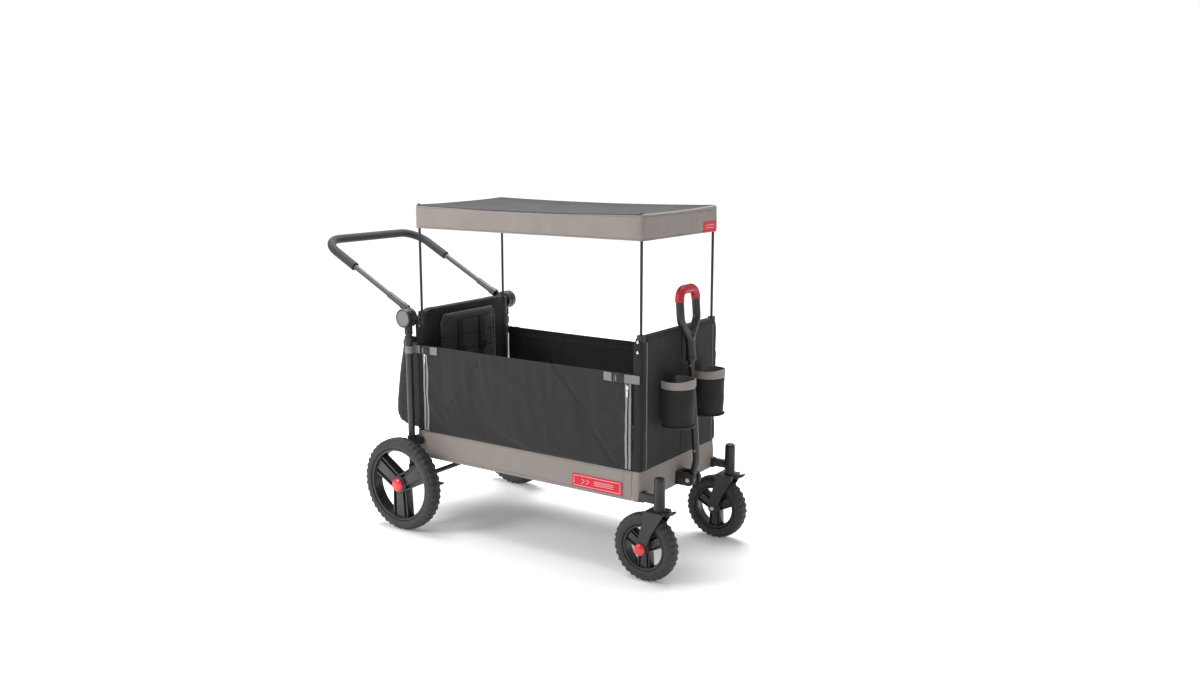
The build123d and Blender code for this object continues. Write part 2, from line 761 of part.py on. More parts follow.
# Casters
fork_inner = front_tyre_width / 2 + fork_gap
fork_outer = fork_inner + fork_wall
lever_x = caster_x + 30.0
lever_z = 211.0


def fork(s):
    """A fork: stem, crown and two raked legs that straddle the wheel."""
    y, top = s * caster_y, housing_low - 0.5
    body = block(caster_x - 34, caster_x + 20, y - fork_outer, y + fork_outer, crown_low, top)
    body += rod((caster_x, y, crown_low), (caster_x, y, housing_high - 14), stem_radius)
    for side in (-1, 1):
        inner, outer = y + side * fork_inner, y + side * fork_outer
        body += link((caster_x - 10, crown_low - 4), (caster_axle_x, front_wheel_radius), fork_leg_radius,
                     inner, outer)
        body += link((caster_x + 10, lever_z), (lever_x, lever_z), 5, y + side * 8.5, y + side * 12.5)
    over = block(caster_x - 60, caster_x + 60, y - fork_outer - 1, y + fork_outer + 1, top, top + 20)
    body -= over - rod((caster_x, y, crown_low), (caster_x, y, housing_high), stem_radius)
    body -= disc(caster_axle_x, y - fork_outer - 1, y + fork_outer + 1, front_wheel_radius, front_axle_radius)
    return body - disc(lever_x, y - 13, y + 13, lever_z, 2)


def lever_pin(s):
    y = s * caster_y
    return disc(lever_x, y - 12.5, y + 12.5, lever_z, 2)


def lock_lever(s):
    """The swivel lock's lever, a fin that points up and forward."""
    y = s * caster_y
    body = disc(lever_x, y - 8, y + 8, lever_z, 5)
    body += link((lever_x, lever_z), (lever_x + 20, lever_z + 9), 3.2, y - 8, y + 8)
    return body - disc(lever_x, y - 9, y + 9, lever_z, 2 + running)


def front_axle(s):
    """The bolt through the fork and the wheel, with a nut on the inner side."""
    y = s * caster_y
    bolt = disc(caster_axle_x, y - fork_outer, y + fork_outer, front_wheel_radius, front_axle_radius)
    head = disc(caster_axle_x, y + s * fork_outer, y + s * (fork_outer + 4), front_wheel_radius, 8)
    nut = disc(caster_axle_x, y - s * fork_outer, y - s * (fork_outer + 4), front_wheel_radius, 7)
    near, far = front_hub_half + 0.3, fork_inner
    spacers = [disc(caster_axle_x, y + face * near, y + face * far, front_wheel_radius, 6.5) for face in (-1, 1)]
    return bolt + head + nut + spacers[0] + spacers[1]


def front_rim(s):
    return rim(caster_axle_x, s * caster_y, front_wheel_radius, front_rim_outer, front_rim_inner,
               front_tyre_width - 8, front_hub_radius, front_hub_half, front_spoke_width, front_axle_radius,
               front_bearing)


def front_cap(s):
    face = s * (caster_y + fork_outer)
    return dome_cap(caster_axle_x, face, front_wheel_radius, 17.5, 12, s) - disc(
        caster_axle_x, face - s, face + s * 5, front_wheel_radius, 9)


# Canopy
def canopy_cover():
    """The canopy's sheet with its valance all round, open underneath."""
    x0, x1 = post_rear_x - canopy_overhang, post_front_x + canopy_overhang
    half = post_y + canopy_overhang
    outer = block(x0, x1, -half, half, canopy_low, canopy_top)
    outer = fillet(outer.edges().filter_by(Axis.Z), 8)
    inner = block(x0 + cloth, x1 - cloth, cloth - half, half - cloth, canopy_low - 1, canopy_top - cloth)
    return outer - fillet(inner.edges().filter_by(Axis.Z), 5)


# Side buckles. At each corner a housing is sewn to the post's cover and takes the clip on the side's strap.
buckle_face = basket_half_width + soft_gap
buckle_half = 16.0
housing_length = 24.0
prong_length = 14.0


def buckle_housing(x, s, direction):
    """The housing of a side buckle with its webbing back to the corner."""
    y = s * buckle_face
    def piece(x0, x1, near, far, half):
        return block(x + direction * x0, x + direction * x1, y + s * near, y + s * far,
                     buckle_z - half, buckle_z + half)
    body = piece(0, housing_length, 0, 10, buckle_half) - piece(0, prong_length + 1, 2.5, 7.5, 12)
    return body + piece(housing_length, housing_length + 22, 0, 2.5, webbing_half_width)


def buckle_clip(x, s, direction):
    """The clip of a side buckle with its webbing."""
    y = s * buckle_face
    def piece(x0, x1, near, far, half):
        return block(x + direction * x0, x + direction * x1, y + s * near, y + s * far,
                     buckle_z - half, buckle_z + half)
    body = piece(-0.5, -14, 0.5, 9.5, 14) + piece(-0.5, prong_length, 3, 7, 11)
    return body + piece(-14, -44, 0.5, 3, webbing_half_width)


os.makedirs("parts", exist_ok=True)

# Rear frame
write("rear_tubes", *both(rear_leg), rear_cross_tube())
write("axle_blocks", *both(axle_block))
write("rear_axles", *both(rear_axle))
write("rear_post_frame", end_frame_with_lugs(post_rear_x, rear_post_top, hinge_rear_x))
write("leg_brackets", *both(lambda s: leg_bracket(s, *lower_bracket)), *both(leg_clamp))
write("frame_pins", *hinge_pins(hinge_rear_x, top_pin_z), *both(brake_pivot), *both(hub_bolt))
write("canopy_uprights_rear", *both(lambda s: rod_socket(post_rear_x, s, *rear_socket, rear_post_top)),
      *both(lambda s: canopy_rod(post_rear_x, s, rear_post_top)))
write("rear_panel", rear_panel())
write("seat_pad", seat_pad())
write("harness", *both(harness_strap),
      *both(lambda s: harness_plate(s, strap_high - 130, strap_high - 100, 3.5)),
      *both(lambda s: harness_plate(s, strap_low + 8, strap_low + 50, 5)))
write("rear_bag", rear_bag())
write("hub_housings", *both(hub_housing))
write("canopy_cover", canopy_cover())
write("side_walls", *both(side_wall))
write("base_bands", base_band_rear(), *both(base_band))
write("side_buckles_rear", *both(lambda s: buckle_housing(buckle_rear_x, s, -1)),
      *both(lambda s: buckle_clip(buckle_rear_x, s, -1)))

# Push handle
write("handle_sockets", *both(arm_socket))
write("handle_tubes", *both(arm_sleeve), handle_run(60, arm_radius, arm_radius - tube_wall))
write("handle_foam", handle_run(foam_start, foam_radius, arm_radius))

# Floor
rear_span = (hinge_rear_x + floor_end_gap, hinge_mid_x - floor_end_gap / 2)
front_span = (hinge_mid_x + floor_end_gap / 2, hinge_front_x - floor_end_gap)
for half_name, span, hinge_x, direction in (("rear", rear_span, hinge_rear_x, 1),
                                            ("front", front_span, hinge_front_x, -1)):
    write(f"floor_deck_{half_name}", floor_frame(*span, hinge_x, direction, half_name == "rear"),
          floor_sheet(*span, board_low, board_high, hinge_x, direction))
    write(f"floor_mat_{half_name}", floor_sheet(*span, board_high, floor_top, hinge_x, direction))
write("floor_middle_pins", *hinge_pins(hinge_mid_x, low_pin_z))

# Front frame
write("front_post_frame", end_frame_with_lugs(post_front_x, front_post_top, hinge_front_x))
write("front_pins", *hinge_pins(hinge_front_x, top_pin_z), pull_pin())
write("canopy_uprights_front", *both(lambda s: rod_socket(post_front_x, s, *front_socket, front_post_top)),
      *both(lambda s: canopy_rod(post_front_x, s, front_post_top)))
write("front_panel", front_panel())
write("base_band_front", base_band_front())
write("cup_pockets", *both(cup_pocket))
write("caster_mounts", *both(caster_mount))
write("pull_bracket", pull_bracket())
write("side_buckles_front", *both(lambda s: buckle_housing(buckle_front_x, s, 1)),
      *both(lambda s: buckle_clip(buckle_front_x, s, 1)))

# Pull handle
write("pull_lower_tube", pull_lower_tube(), pull_collar())
write("pull_inner_tube", pull_inner_tube())
write("pull_grip", pull_grip())
write("grip_cover", grip_cover())

# What comes in a right and a left one on bodies of their own
for side in (-1, 1):
    name = side_name(side)
    write(f"hub_button_{name}", hub_button(side))
    write(f"brake_pedal_{name}", brake_pedal(side))
    write(f"brake_pin_{name}", brake_pin(side))
    write(f"rear_rim_{name}", rear_rim(side),
          *bearings(axle_x, side * rear_wheel_y, axle_z, rear_hub_half, rear_axle_radius, rear_bearing))
    write(f"rear_tyre_{name}", Pos(axle_x, 0, 0) * tyre(rear_wheel_radius, rear_rim_outer, rear_tyre_width,
                                                        side * rear_wheel_y))
    write(f"rear_cap_{name}", rear_cap(side))
    write(f"fork_{name}", fork(side), lever_pin(side))
    write(f"lock_lever_{name}", lock_lever(side))
    write(f"front_axle_{name}", front_axle(side), front_cap(side))
    write(f"front_rim_{name}", front_rim(side), *bearings(caster_axle_x, side * caster_y, front_wheel_radius,
                                                          front_hub_half, front_axle_radius, front_bearing))
    write(f"front_tyre_{name}", Pos(caster_axle_x, 0, 0) * tyre(front_wheel_radius, front_rim_outer,
                                                                front_tyre_width, side * caster_y))
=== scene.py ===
"""Folding wagon for children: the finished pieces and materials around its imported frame."""
import json
import math

import bpy
from mathutils import Matrix, Vector, noise


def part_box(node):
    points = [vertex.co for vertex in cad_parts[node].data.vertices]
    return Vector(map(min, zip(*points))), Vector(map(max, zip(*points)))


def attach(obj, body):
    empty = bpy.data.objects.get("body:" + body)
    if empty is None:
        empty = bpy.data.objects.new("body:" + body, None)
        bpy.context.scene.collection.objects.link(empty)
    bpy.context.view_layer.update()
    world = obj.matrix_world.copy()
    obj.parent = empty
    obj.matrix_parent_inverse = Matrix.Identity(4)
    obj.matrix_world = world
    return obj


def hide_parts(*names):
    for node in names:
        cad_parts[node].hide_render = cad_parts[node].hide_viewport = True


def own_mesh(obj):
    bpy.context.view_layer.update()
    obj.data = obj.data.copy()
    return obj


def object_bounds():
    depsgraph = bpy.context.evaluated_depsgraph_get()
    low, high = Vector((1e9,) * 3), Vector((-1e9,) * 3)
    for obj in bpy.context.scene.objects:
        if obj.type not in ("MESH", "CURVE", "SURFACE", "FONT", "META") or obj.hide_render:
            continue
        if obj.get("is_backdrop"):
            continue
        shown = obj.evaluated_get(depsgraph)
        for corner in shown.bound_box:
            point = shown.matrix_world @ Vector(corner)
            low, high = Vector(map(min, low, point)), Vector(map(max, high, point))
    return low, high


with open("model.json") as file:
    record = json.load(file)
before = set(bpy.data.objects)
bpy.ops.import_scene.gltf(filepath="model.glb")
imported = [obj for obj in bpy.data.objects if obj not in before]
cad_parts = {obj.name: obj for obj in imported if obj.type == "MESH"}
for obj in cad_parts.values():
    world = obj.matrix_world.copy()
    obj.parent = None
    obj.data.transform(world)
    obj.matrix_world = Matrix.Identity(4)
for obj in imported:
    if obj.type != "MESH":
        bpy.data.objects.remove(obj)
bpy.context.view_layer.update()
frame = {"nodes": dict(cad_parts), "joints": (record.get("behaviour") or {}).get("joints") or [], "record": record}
scene = bpy.context.scene
MM = 0.001
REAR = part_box("base_bands")[0].x
SIDES = (("right", -1), ("left", 1))


def at(x, y, z):
    """A point in millimetres from the basket's rear face, the middle plane and the ground."""
    return Vector((REAR + x * MM, y * MM, z * MM))


def local(point):
    """Millimetres from the basket's rear face, the middle plane and the ground, for a point in metres."""
    return (point.x - REAR) / MM, point.y / MM, point.z / MM


# Sizes, in millimetres
BASKET_FRONT = (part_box("base_band_front")[1].x - REAR) / MM
HALF_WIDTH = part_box("side_walls")[1].y / MM
BAND_LOW, BAND_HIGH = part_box("base_bands")[0].z / MM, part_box("base_bands")[1].z / MM
WALL_REAR, WALL_FRONT = (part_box("side_walls")[0].x - REAR) / MM, (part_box("side_walls")[1].x - REAR) / MM
WALL_LOW, WALL_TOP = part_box("side_walls")[0].z / MM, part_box("side_walls")[1].z / MM


# ---------------------------------------------------------------- Modelling helpers
def deselect():
    if bpy.context.object and bpy.context.object.mode != "OBJECT":
        bpy.ops.object.mode_set(mode="OBJECT")
    bpy.ops.object.select_all(action="DESELECT")


def activate(*objs):
    deselect()
    for obj in objs:
        obj.select_set(True)
    bpy.context.view_layer.objects.active = objs[0]


def new_piece(name):
    """Names the primitive that was just added and puts its place into its mesh."""
    obj = bpy.context.object
    obj.name = obj.data.name = name
    activate(obj)
    bpy.ops.object.transform_apply(location=True, rotation=True, scale=True)
    return obj


def block(name, low, high):
    """A box between two corners."""
    deselect()
    low, high = Vector(low), Vector(high)
    bpy.ops.mesh.primitive_cube_add(size=1, location=(low + high) / 2, scale=high - low)
    return new_piece(name)


def bar(name, start, end, radius, vertices=32):
    """A round bar between two points. radius is in metres."""
    deselect()
    along = end - start
    turn = along.to_track_quat("Z", "Y").to_euler()
    bpy.ops.mesh.primitive_cylinder_add(vertices=vertices, radius=radius, depth=along.length,
                                        location=(start + end) / 2, rotation=turn)
    return new_piece(name)


def pick(obj, test, kind="FACE"):
    """Goes into edit mode with the faces, edges or vertices whose middle passes a test."""
    activate(obj)
    bpy.ops.object.mode_set(mode="EDIT")
    bpy.ops.mesh.select_mode(type=kind)
    bpy.ops.mesh.select_all(action="DESELECT")
    bpy.ops.object.mode_set(mode="OBJECT")
    mesh = obj.data
    if kind == "FACE":
        for face in mesh.polygons:
            face.select = test(face.center, face.normal)
    elif kind == "EDGE":
        for edge in mesh.edges:
            a, b = (mesh.vertices[i].co for i in edge.vertices)
            edge.select = test((a + b) / 2, (b - a).normalized())
    else:
        for vertex in mesh.vertices:
            vertex.select = test(vertex.co, vertex.normal)
    bpy.ops.object.mode_set(mode="EDIT")


def leave_edit():
    bpy.ops.object.mode_set(mode="OBJECT")


def drawn(name, points, closed=True):
    """An outline drawn by extruding one vertex from point to point."""
    deselect()
    bpy.ops.mesh.primitive_plane_add(size=MM)
    obj = bpy.context.object
    obj.name = obj.data.name = name
    bpy.ops.object.mode_set(mode="EDIT")
    bpy.ops.mesh.select_mode(type="VERT")
    bpy.ops.mesh.select_all(action="SELECT")
    bpy.ops.mesh.merge(type="CENTER")
    bpy.ops.transform.translate(value=points[0])
    for last, point in zip(points, points[1:]):
        bpy.ops.mesh.extrude_region_move(TRANSFORM_OT_translate={"value": point - last})
    leave_edit()
    if closed:
        ends = (0, len(points) - 1)
        for i, vertex in enumerate(obj.data.vertices):
            vertex.select = i in ends
        bpy.ops.object.mode_set(mode="EDIT")
        bpy.ops.mesh.select_mode(type="VERT")
        bpy.ops.mesh.edge_face_add()
        leave_edit()
    return obj


def slab(name, points, depth):
    """A flat plate of any outline, extruded by a vector."""
    obj = drawn(name, points)
    bpy.ops.object.mode_set(mode="EDIT")
    bpy.ops.mesh.select_all(action="SELECT")
    bpy.ops.mesh.edge_face_add()
    bpy.ops.mesh.extrude_region_move(TRANSFORM_OT_translate={"value": depth})
    bpy.ops.mesh.select_all(action="SELECT")
    bpy.ops.mesh.normals_make_consistent(inside=False)
    leave_edit()
    return obj


def turned(name, points, centre, axis=(0, 1, 0), steps=64, closed=True):
    """A turned piece: an outline spun round an axis through centre."""
    obj = drawn(name, points, closed)
    bpy.ops.object.mode_set(mode="EDIT")
    bpy.ops.mesh.select_all(action="SELECT")
    bpy.ops.mesh.spin(steps=steps, angle=math.tau, center=centre, axis=axis)
    bpy.ops.mesh.select_all(action="SELECT")
    bpy.ops.mesh.remove_doubles(threshold=0.02 * MM)
    bpy.ops.mesh.normals_make_consistent(inside=False)
    leave_edit()
    return obj


def modified(obj, kind, **settings):
    """Adds one modifier with its settings and applies it."""
    activate(obj)
    modifier = obj.modifiers.new(kind.title(), kind)
    for name, value in settings.items():
        setattr(modifier, name, value)
    bpy.ops.object.modifier_apply(modifier=modifier.name)
    return obj


def bevelled(obj, width, segments=2, angle=35):
    return modified(obj, "BEVEL", width=width * MM, segments=segments, limit_method="ANGLE",
                    angle_limit=math.radians(angle), harden_normals=False)


def smoothed(obj, angle=40):
    activate(obj)
    bpy.ops.object.shade_smooth_by_angle(angle=math.radians(angle))
    return obj


def subdivided(obj, levels=1):
    return modified(obj, "SUBSURF", levels=levels, render_levels=levels)


def joined(name, objs):
    activate(*objs)
    bpy.ops.object.join()
    obj = bpy.context.object
    obj.name = obj.data.name = name
    return obj


def copied(obj, name, matrix=None):
    """A copy with a mesh of its own, moved by a matrix. A mirrored copy is turned right side out."""
    other = obj.copy()
    other.data = obj.data.copy()
    other.name = other.data.name = name
    scene.collection.objects.link(other)
    if matrix is not None:
        other.data.transform(matrix)
        if matrix.determinant() < 0:
            other.data.flip_normals()
    return other


def mirrored(obj, name):
    """The same piece on the other side of the middle plane."""
    return copied(obj, name, Matrix.Scale(-1, 4, (0, 1, 0)))


def moulded(obj, voxel, smooth=4):
    """Melts overlapping shapes into one soft-edged moulding."""
    activate(obj)
    obj.data.remesh_voxel_size = voxel * MM
    bpy.ops.object.voxel_remesh()
    modified(obj, "SMOOTH", factor=0.5, iterations=smooth)
    return smoothed(obj, 60)


def rounded(points, bend, steps=8):
    """A route with each inner corner turned into an arc."""
    route = [points[0]]
    for before, corner, after in zip(points, points[1:], points[2:]):
        to_before, to_after = (before - corner).normalized(), (after - corner).normalized()
        half = to_before.angle(to_after) / 2
        reach = bend / math.tan(half)
        centre = corner + (to_before + to_after).normalized() * (bend / math.sin(half))
        a, b = corner + to_before * reach - centre, corner + to_after * reach - centre
        for i in range(steps + 1):
            route.append(centre + a.slerp(b, i / steps) * a.length)
    return route + [points[-1]]


def tube(name, points, radius, closed=False, sides=4, flat=1.0):
    """A round cord along a route, as a mesh. radius is in metres."""
    curve = bpy.data.curves.new(name, "CURVE")
    curve.dimensions = "3D"
    spline = curve.splines.new("POLY")
    spline.points.add(len(points) - 1)
    for spot, point in zip(spline.points, points):
        spot.co = (*point, 1)
    spline.use_cyclic_u = closed
    curve.bevel_depth, curve.bevel_resolution, curve.use_fill_caps = radius, sides, True
    obj = bpy.data.objects.new(name, curve)
    scene.collection.objects.link(obj)
    activate(obj)
    bpy.ops.object.convert(target="MESH")
    return smoothed(bpy.context.object, 50)


def cloth_grid(name, columns, rows, place):
    """A grid of cloth whose point at shares (u, v) lies at place(u, v)."""
    deselect()
    bpy.ops.mesh.primitive_grid_add(x_subdivisions=columns, y_subdivisions=rows, size=1)
    obj = bpy.context.object
    obj.name = obj.data.name = name
    for vertex in obj.data.vertices:
        vertex.co = place(vertex.co.x + 0.5, vertex.co.y + 0.5)
    return obj


def facing(obj, direction):
    """Turns an open sheet's faces to one direction."""
    total = sum((face.normal * face.area for face in obj.data.polygons), Vector())
    if total.dot(Vector(direction)) < 0:
        obj.data.flip_normals()
    return obj


def thickened(obj, thickness, offset=-1.0):
    return modified(obj, "SOLIDIFY", thickness=thickness * MM, offset=offset, use_rim=True)


def ribbon(name, route, across, thickness=1.2, bend=0.0):
    """A flat strap along a route. across is the vector over its width, in metres."""
    if bend:
        route = rounded(route, bend * MM)
    lengths = [0.0]
    for a, b in zip(route, route[1:]):
        lengths.append(lengths[-1] + (b - a).length)
    steps = max(2, int(lengths[-1] / (6 * MM)))

    def place(u, v):
        reach = u * lengths[-1]
        i = max(k for k in range(len(route) - 1) if lengths[k] <= reach + 1e-9)
        share = (reach - lengths[i]) / max(lengths[i + 1] - lengths[i], 1e-9)
        return route[i].lerp(route[i + 1], min(share, 1.0)) + across * (v - 0.5)
    obj = cloth_grid(name, steps, 4, place)
    thickened(obj, thickness, 0.0)
    activate(obj)
    bpy.ops.object.mode_set(mode="EDIT")
    bpy.ops.mesh.select_all(action="SELECT")
    bpy.ops.mesh.normals_make_consistent(inside=False)
    leave_edit()
    return smoothed(bevelled(obj, thickness * 0.3, 1, 60), 40)


def relaxed(obj, frames=20, pins=None, pressure=0.0, growth=0.0, gravity=0.0, cap=8.0, bending=0.5):
    """Lets a cloth simulation settle a mesh and keeps the result. No point moves further than cap."""
    start = [vertex.co.copy() for vertex in obj.data.vertices]
    activate(obj)
    cloth = obj.modifiers.new("Cloth", "CLOTH")
    settings = cloth.settings
    settings.quality = 5
    settings.mass = 0.3
    settings.tension_stiffness = settings.compression_stiffness = 15
    settings.shear_stiffness = 8
    settings.bending_stiffness = bending
    settings.effector_weights.gravity = gravity
    settings.shrink_min = -growth
    if pins is not None:
        group = obj.vertex_groups.new(name="pins")
        group.add([i for i, point in enumerate(start) if pins(point)], 1.0, "REPLACE")
        settings.vertex_group_mass = "pins"
    if pressure:
        settings.use_pressure = True
        settings.uniform_pressure_force = pressure
    cloth.point_cache.frame_start, cloth.point_cache.frame_end = 1, frames
    for number in range(1, frames + 1):
        scene.frame_set(number)
    bpy.ops.object.modifier_apply(modifier=cloth.name)
    scene.frame_set(1)
    for vertex, point in zip(obj.data.vertices, start):
        move = vertex.co - point
        if move.length > cap * MM:
            vertex.co = point + move.normalized() * cap * MM
    return obj


def shifted(obj, move):
    """Moves each vertex by move(x, y, z in millimetres, normal), which returns millimetres or None."""
    mesh = obj.data
    moves = [move(*local(vertex.co), vertex.normal) for vertex in mesh.vertices]
    for vertex, step in zip(mesh.vertices, moves):
        if step is not None:
            vertex.co += Vector(step) * MM
    mesh.update()
    return obj


def ripple(x, y, z, size, seed=0.0):
    """Smooth noise from -1 to 1 with features about size millimetres across."""
    return noise.noise(Vector((x / size + seed, y / size, z / size + seed * 2)))


def ridge(distance, width):
    """A soft ridge or groove profile: 1 on its line and 0 a width away."""
    return math.exp(-(distance / width) ** 2)


def line_distance(px, pz, ax, az, bx, bz):
    """Distance from a point to a stretch of line in a plane."""
    dx, dz = bx - ax, bz - az
    t = max(0.0, min(1.0, ((px - ax) * dx + (pz - az) * dz) / (dx * dx + dz * dz)))
    return math.hypot(px - ax - t * dx, pz - az - t * dz)


def laid_on(obj, wall, offset):
    """Wraps a thin piece onto a surface, offset millimetres above it."""
    activate(obj)
    wrap = obj.modifiers.new("Wrap", "SHRINKWRAP")
    wrap.target, wrap.offset = wall, offset * MM
    wrap.wrap_mode = "ABOVE_SURFACE"
    bpy.ops.object.modifier_apply(modifier=wrap.name)
    return obj


# ---------------------------------------------------------------- Node helpers
def add_node(tree, kind, inputs=(), **settings):
    """A node with its settings, and its inputs as values or links."""
    node = tree.nodes.new(kind)
    for name, value in settings.items():
        setattr(node, name, value)
    for key, value in dict(inputs).items():
        if isinstance(value, bpy.types.NodeSocket):
            tree.links.new(value, node.inputs[key])
        else:
            node.inputs[key].default_value = value
    return node


def maths(tree, operation, a, b=0.0, clamp=False):
    node = add_node(tree, "ShaderNodeMath", {0: a, 1: b}, operation=operation, use_clamp=clamp)
    return node.outputs[0]


def mixed(tree, share, a, b):
    node = add_node(tree, "ShaderNodeMix", data_type="RGBA")
    for socket, value in ((node.inputs[0], share), (node.inputs[6], a), (node.inputs[7], b)):
        if isinstance(value, bpy.types.NodeSocket):
            tree.links.new(value, socket)
        else:
            socket.default_value = value
    return node.outputs[2]


def ranged(tree, value, low, high, to_low=0.0, to_high=1.0):
    node = add_node(tree, "ShaderNodeMapRange", {0: value, 1: low, 2: high, 3: to_low, 4: to_high})
    return node.outputs[0]


SOCKETS = {"Colour": "NodeSocketColor", "Normal": "NodeSocketVector"}


def new_group(name, inputs, outputs):
    """An empty node group with named inputs, each with its default, and outputs."""
    tree = bpy.data.node_groups.new(name, "ShaderNodeTree")
    for socket, default in inputs.items():
        made = tree.interface.new_socket(socket, in_out="INPUT",
                                         socket_type=SOCKETS.get(socket, "NodeSocketFloat"))
        made.default_value = default
    for socket in outputs:
        tree.interface.new_socket(socket, in_out="OUTPUT", socket_type=SOCKETS.get(socket, "NodeSocketFloat"))
    return tree, tree.nodes.new("NodeGroupInput").outputs, tree.nodes.new("NodeGroupOutput")


def weave_group():
    """Woven cloth: crossed threads, slubs, a mottled tone and a soft nap."""
    inputs = {"Colour": (0.5, 0.5, 0.5, 1), "Threads": 600.0, "Depth": 0.4, "Mottle": 0.2, "Matt": 0.8}
    tree, given, result = new_group("woven_cloth", inputs, ["Colour", "Roughness", "Normal"])
    place = add_node(tree, "ShaderNodeTexCoord").outputs["Object"]
    pitch = maths(tree, "MULTIPLY", given["Threads"], math.tau)
    scaled = add_node(tree, "ShaderNodeVectorMath", {0: place, 3: pitch}, operation="SCALE").outputs[0]
    split = add_node(tree, "ShaderNodeSeparateXYZ", {0: scaled}).outputs
    sines = [maths(tree, "SINE", split[i]) for i in range(3)]
    threads = maths(tree, "ADD", maths(tree, "ADD", sines[0], sines[1]), sines[2])
    slub = add_node(tree, "ShaderNodeTexNoise", {"Vector": place, "Scale": 260.0, "Detail": 3.0}).outputs[0]
    tone = add_node(tree, "ShaderNodeTexNoise", {"Vector": place, "Scale": 14.0, "Detail": 4.0,
                                                 "Roughness": 0.6}).outputs[0]
    height = maths(tree, "ADD", maths(tree, "MULTIPLY", threads, 0.25), maths(tree, "MULTIPLY", slub, 1.2))
    bump = add_node(tree, "ShaderNodeBump", {"Height": height, "Strength": given["Depth"],
                                             "Distance": 0.0006})
    shade = maths(tree, "MULTIPLY", given["Mottle"], maths(tree, "SUBTRACT", tone, 0.5))
    fleck = maths(tree, "MULTIPLY", maths(tree, "SUBTRACT", slub, 0.5), given["Mottle"])
    factor = maths(tree, "ADD", maths(tree, "ADD", shade, fleck), 1.0)
    colour = add_node(tree, "ShaderNodeVectorMath", {0: given["Colour"], 3: factor},
                      operation="SCALE").outputs[0]
    matt = maths(tree, "ADD", given["Matt"], maths(tree, "MULTIPLY", maths(tree, "SUBTRACT", tone, 0.5),
                                                   0.25),
                 clamp=True)
    tree.links.new(colour, result.inputs["Colour"])
    tree.links.new(matt, result.inputs["Roughness"])
    tree.links.new(bump.outputs[0], result.inputs["Normal"])
    return tree


def moulding_group():
    """Moulded or coated surface: fine grain, orange peel and patches that shine a little more."""
    tree, given, result = new_group("moulded_surface", {"Colour": (0.5, 0.5, 0.5, 1), "Grain": 900.0,
                                                        "Depth": 0.15,
                                                        "Shine": 0.4, "Patches": 0.15},
                                    ["Colour", "Roughness", "Normal"])
    place = add_node(tree, "ShaderNodeTexCoord").outputs["Object"]
    grain = add_node(tree, "ShaderNodeTexNoise", {"Vector": place, "Scale": given["Grain"],
                                                  "Detail": 2.0}).outputs[0]
    patches = add_node(tree, "ShaderNodeTexNoise", {"Vector": place, "Scale": 22.0, "Detail": 5.0,
                                                    "Roughness": 0.65}).outputs[0]
    bump = add_node(tree, "ShaderNodeBump", {"Height": grain, "Strength": given["Depth"], "Distance": 0.0004})
    spread = maths(tree, "MULTIPLY", maths(tree, "SUBTRACT", patches, 0.5), given["Patches"])
    rough = maths(tree, "ADD", given["Shine"], spread, clamp=True)
    factor = maths(tree, "ADD", maths(tree, "MULTIPLY", spread, 1.5), 1.0)
    colour = add_node(tree, "ShaderNodeVectorMath", {0: given["Colour"], 3: factor},
                      operation="SCALE").outputs[0]
    tree.links.new(colour, result.inputs["Colour"])
    tree.links.new(rough, result.inputs["Roughness"])
    tree.links.new(bump.outputs[0], result.inputs["Normal"])
    return tree


def wear_group():
    """Rubbed edges: the colour turns paler where the surface is convex."""
    tree, given, result = new_group("rubbed_edges", {"Colour": (0.5, 0.5, 0.5, 1), "Amount": 0.3,
                                                     "Lift": 0.12},
                                    ["Colour"])
    place = add_node(tree, "ShaderNodeTexCoord").outputs["Object"]
    convex = add_node(tree, "ShaderNodeNewGeometry").outputs["Pointiness"]
    edge = ranged(tree, convex, 0.52, 0.6)
    breakup = add_node(tree, "ShaderNodeTexNoise", {"Vector": place, "Scale": 60.0, "Detail": 4.0}).outputs[0]
    mask = maths(tree, "MULTIPLY", maths(tree, "MULTIPLY", edge, ranged(tree, breakup, 0.4, 0.6)),
                 given["Amount"])
    lift = add_node(tree, "ShaderNodeCombineXYZ", {0: given["Lift"], 1: given["Lift"],
                                                   2: given["Lift"]}).outputs[0]
    paler = add_node(tree, "ShaderNodeVectorMath", {0: given["Colour"], 1: lift}, operation="ADD").outputs[0]
    tree.links.new(mixed(tree, mask, given["Colour"], paler), result.inputs["Colour"])
    return tree


def dust_group():
    """Road dust that lies thicker towards the ground."""
    tree, given, result = new_group("road_dust", {"Colour": (0.5, 0.5, 0.5, 1), "Amount": 0.3, "Reach": 0.3},
                                    ["Colour"])
    place = add_node(tree, "ShaderNodeTexCoord").outputs["Object"]
    height = add_node(tree, "ShaderNodeSeparateXYZ", {0: place}).outputs[2]
    low = maths(tree, "SUBTRACT", 1.0, maths(tree, "DIVIDE", height, given["Reach"]), clamp=True)
    spots = add_node(tree, "ShaderNodeTexNoise", {"Vector": place, "Scale": 90.0, "Detail": 6.0,
                                                  "Roughness": 0.7}).outputs[0]
    mask = maths(tree, "MULTIPLY", maths(tree, "MULTIPLY", low, ranged(tree, spots, 0.4, 0.75)),
                 given["Amount"])
    tree.links.new(mixed(tree, mask, given["Colour"], (0.19, 0.17, 0.15, 1)), result.inputs["Colour"])
    return tree


WEAVE, MOULDING, WEAR, DUST = weave_group(), moulding_group(), wear_group(), dust_group()


def use_group(tree, group, inputs):
    """Places a node group in a material with its own values."""
    node = tree.nodes.new("ShaderNodeGroup")
    node.node_tree = group
    for key, value in inputs.items():
        if isinstance(value, bpy.types.NodeSocket):
            tree.links.new(value, node.inputs[key])
        else:
            node.inputs[key].default_value = value
    return node.outputs


def new_material(name):
    material = bpy.data.materials.new(name)
    material.use_nodes = True
    tree = material.node_tree
    return material, tree, tree.nodes["Principled BSDF"]


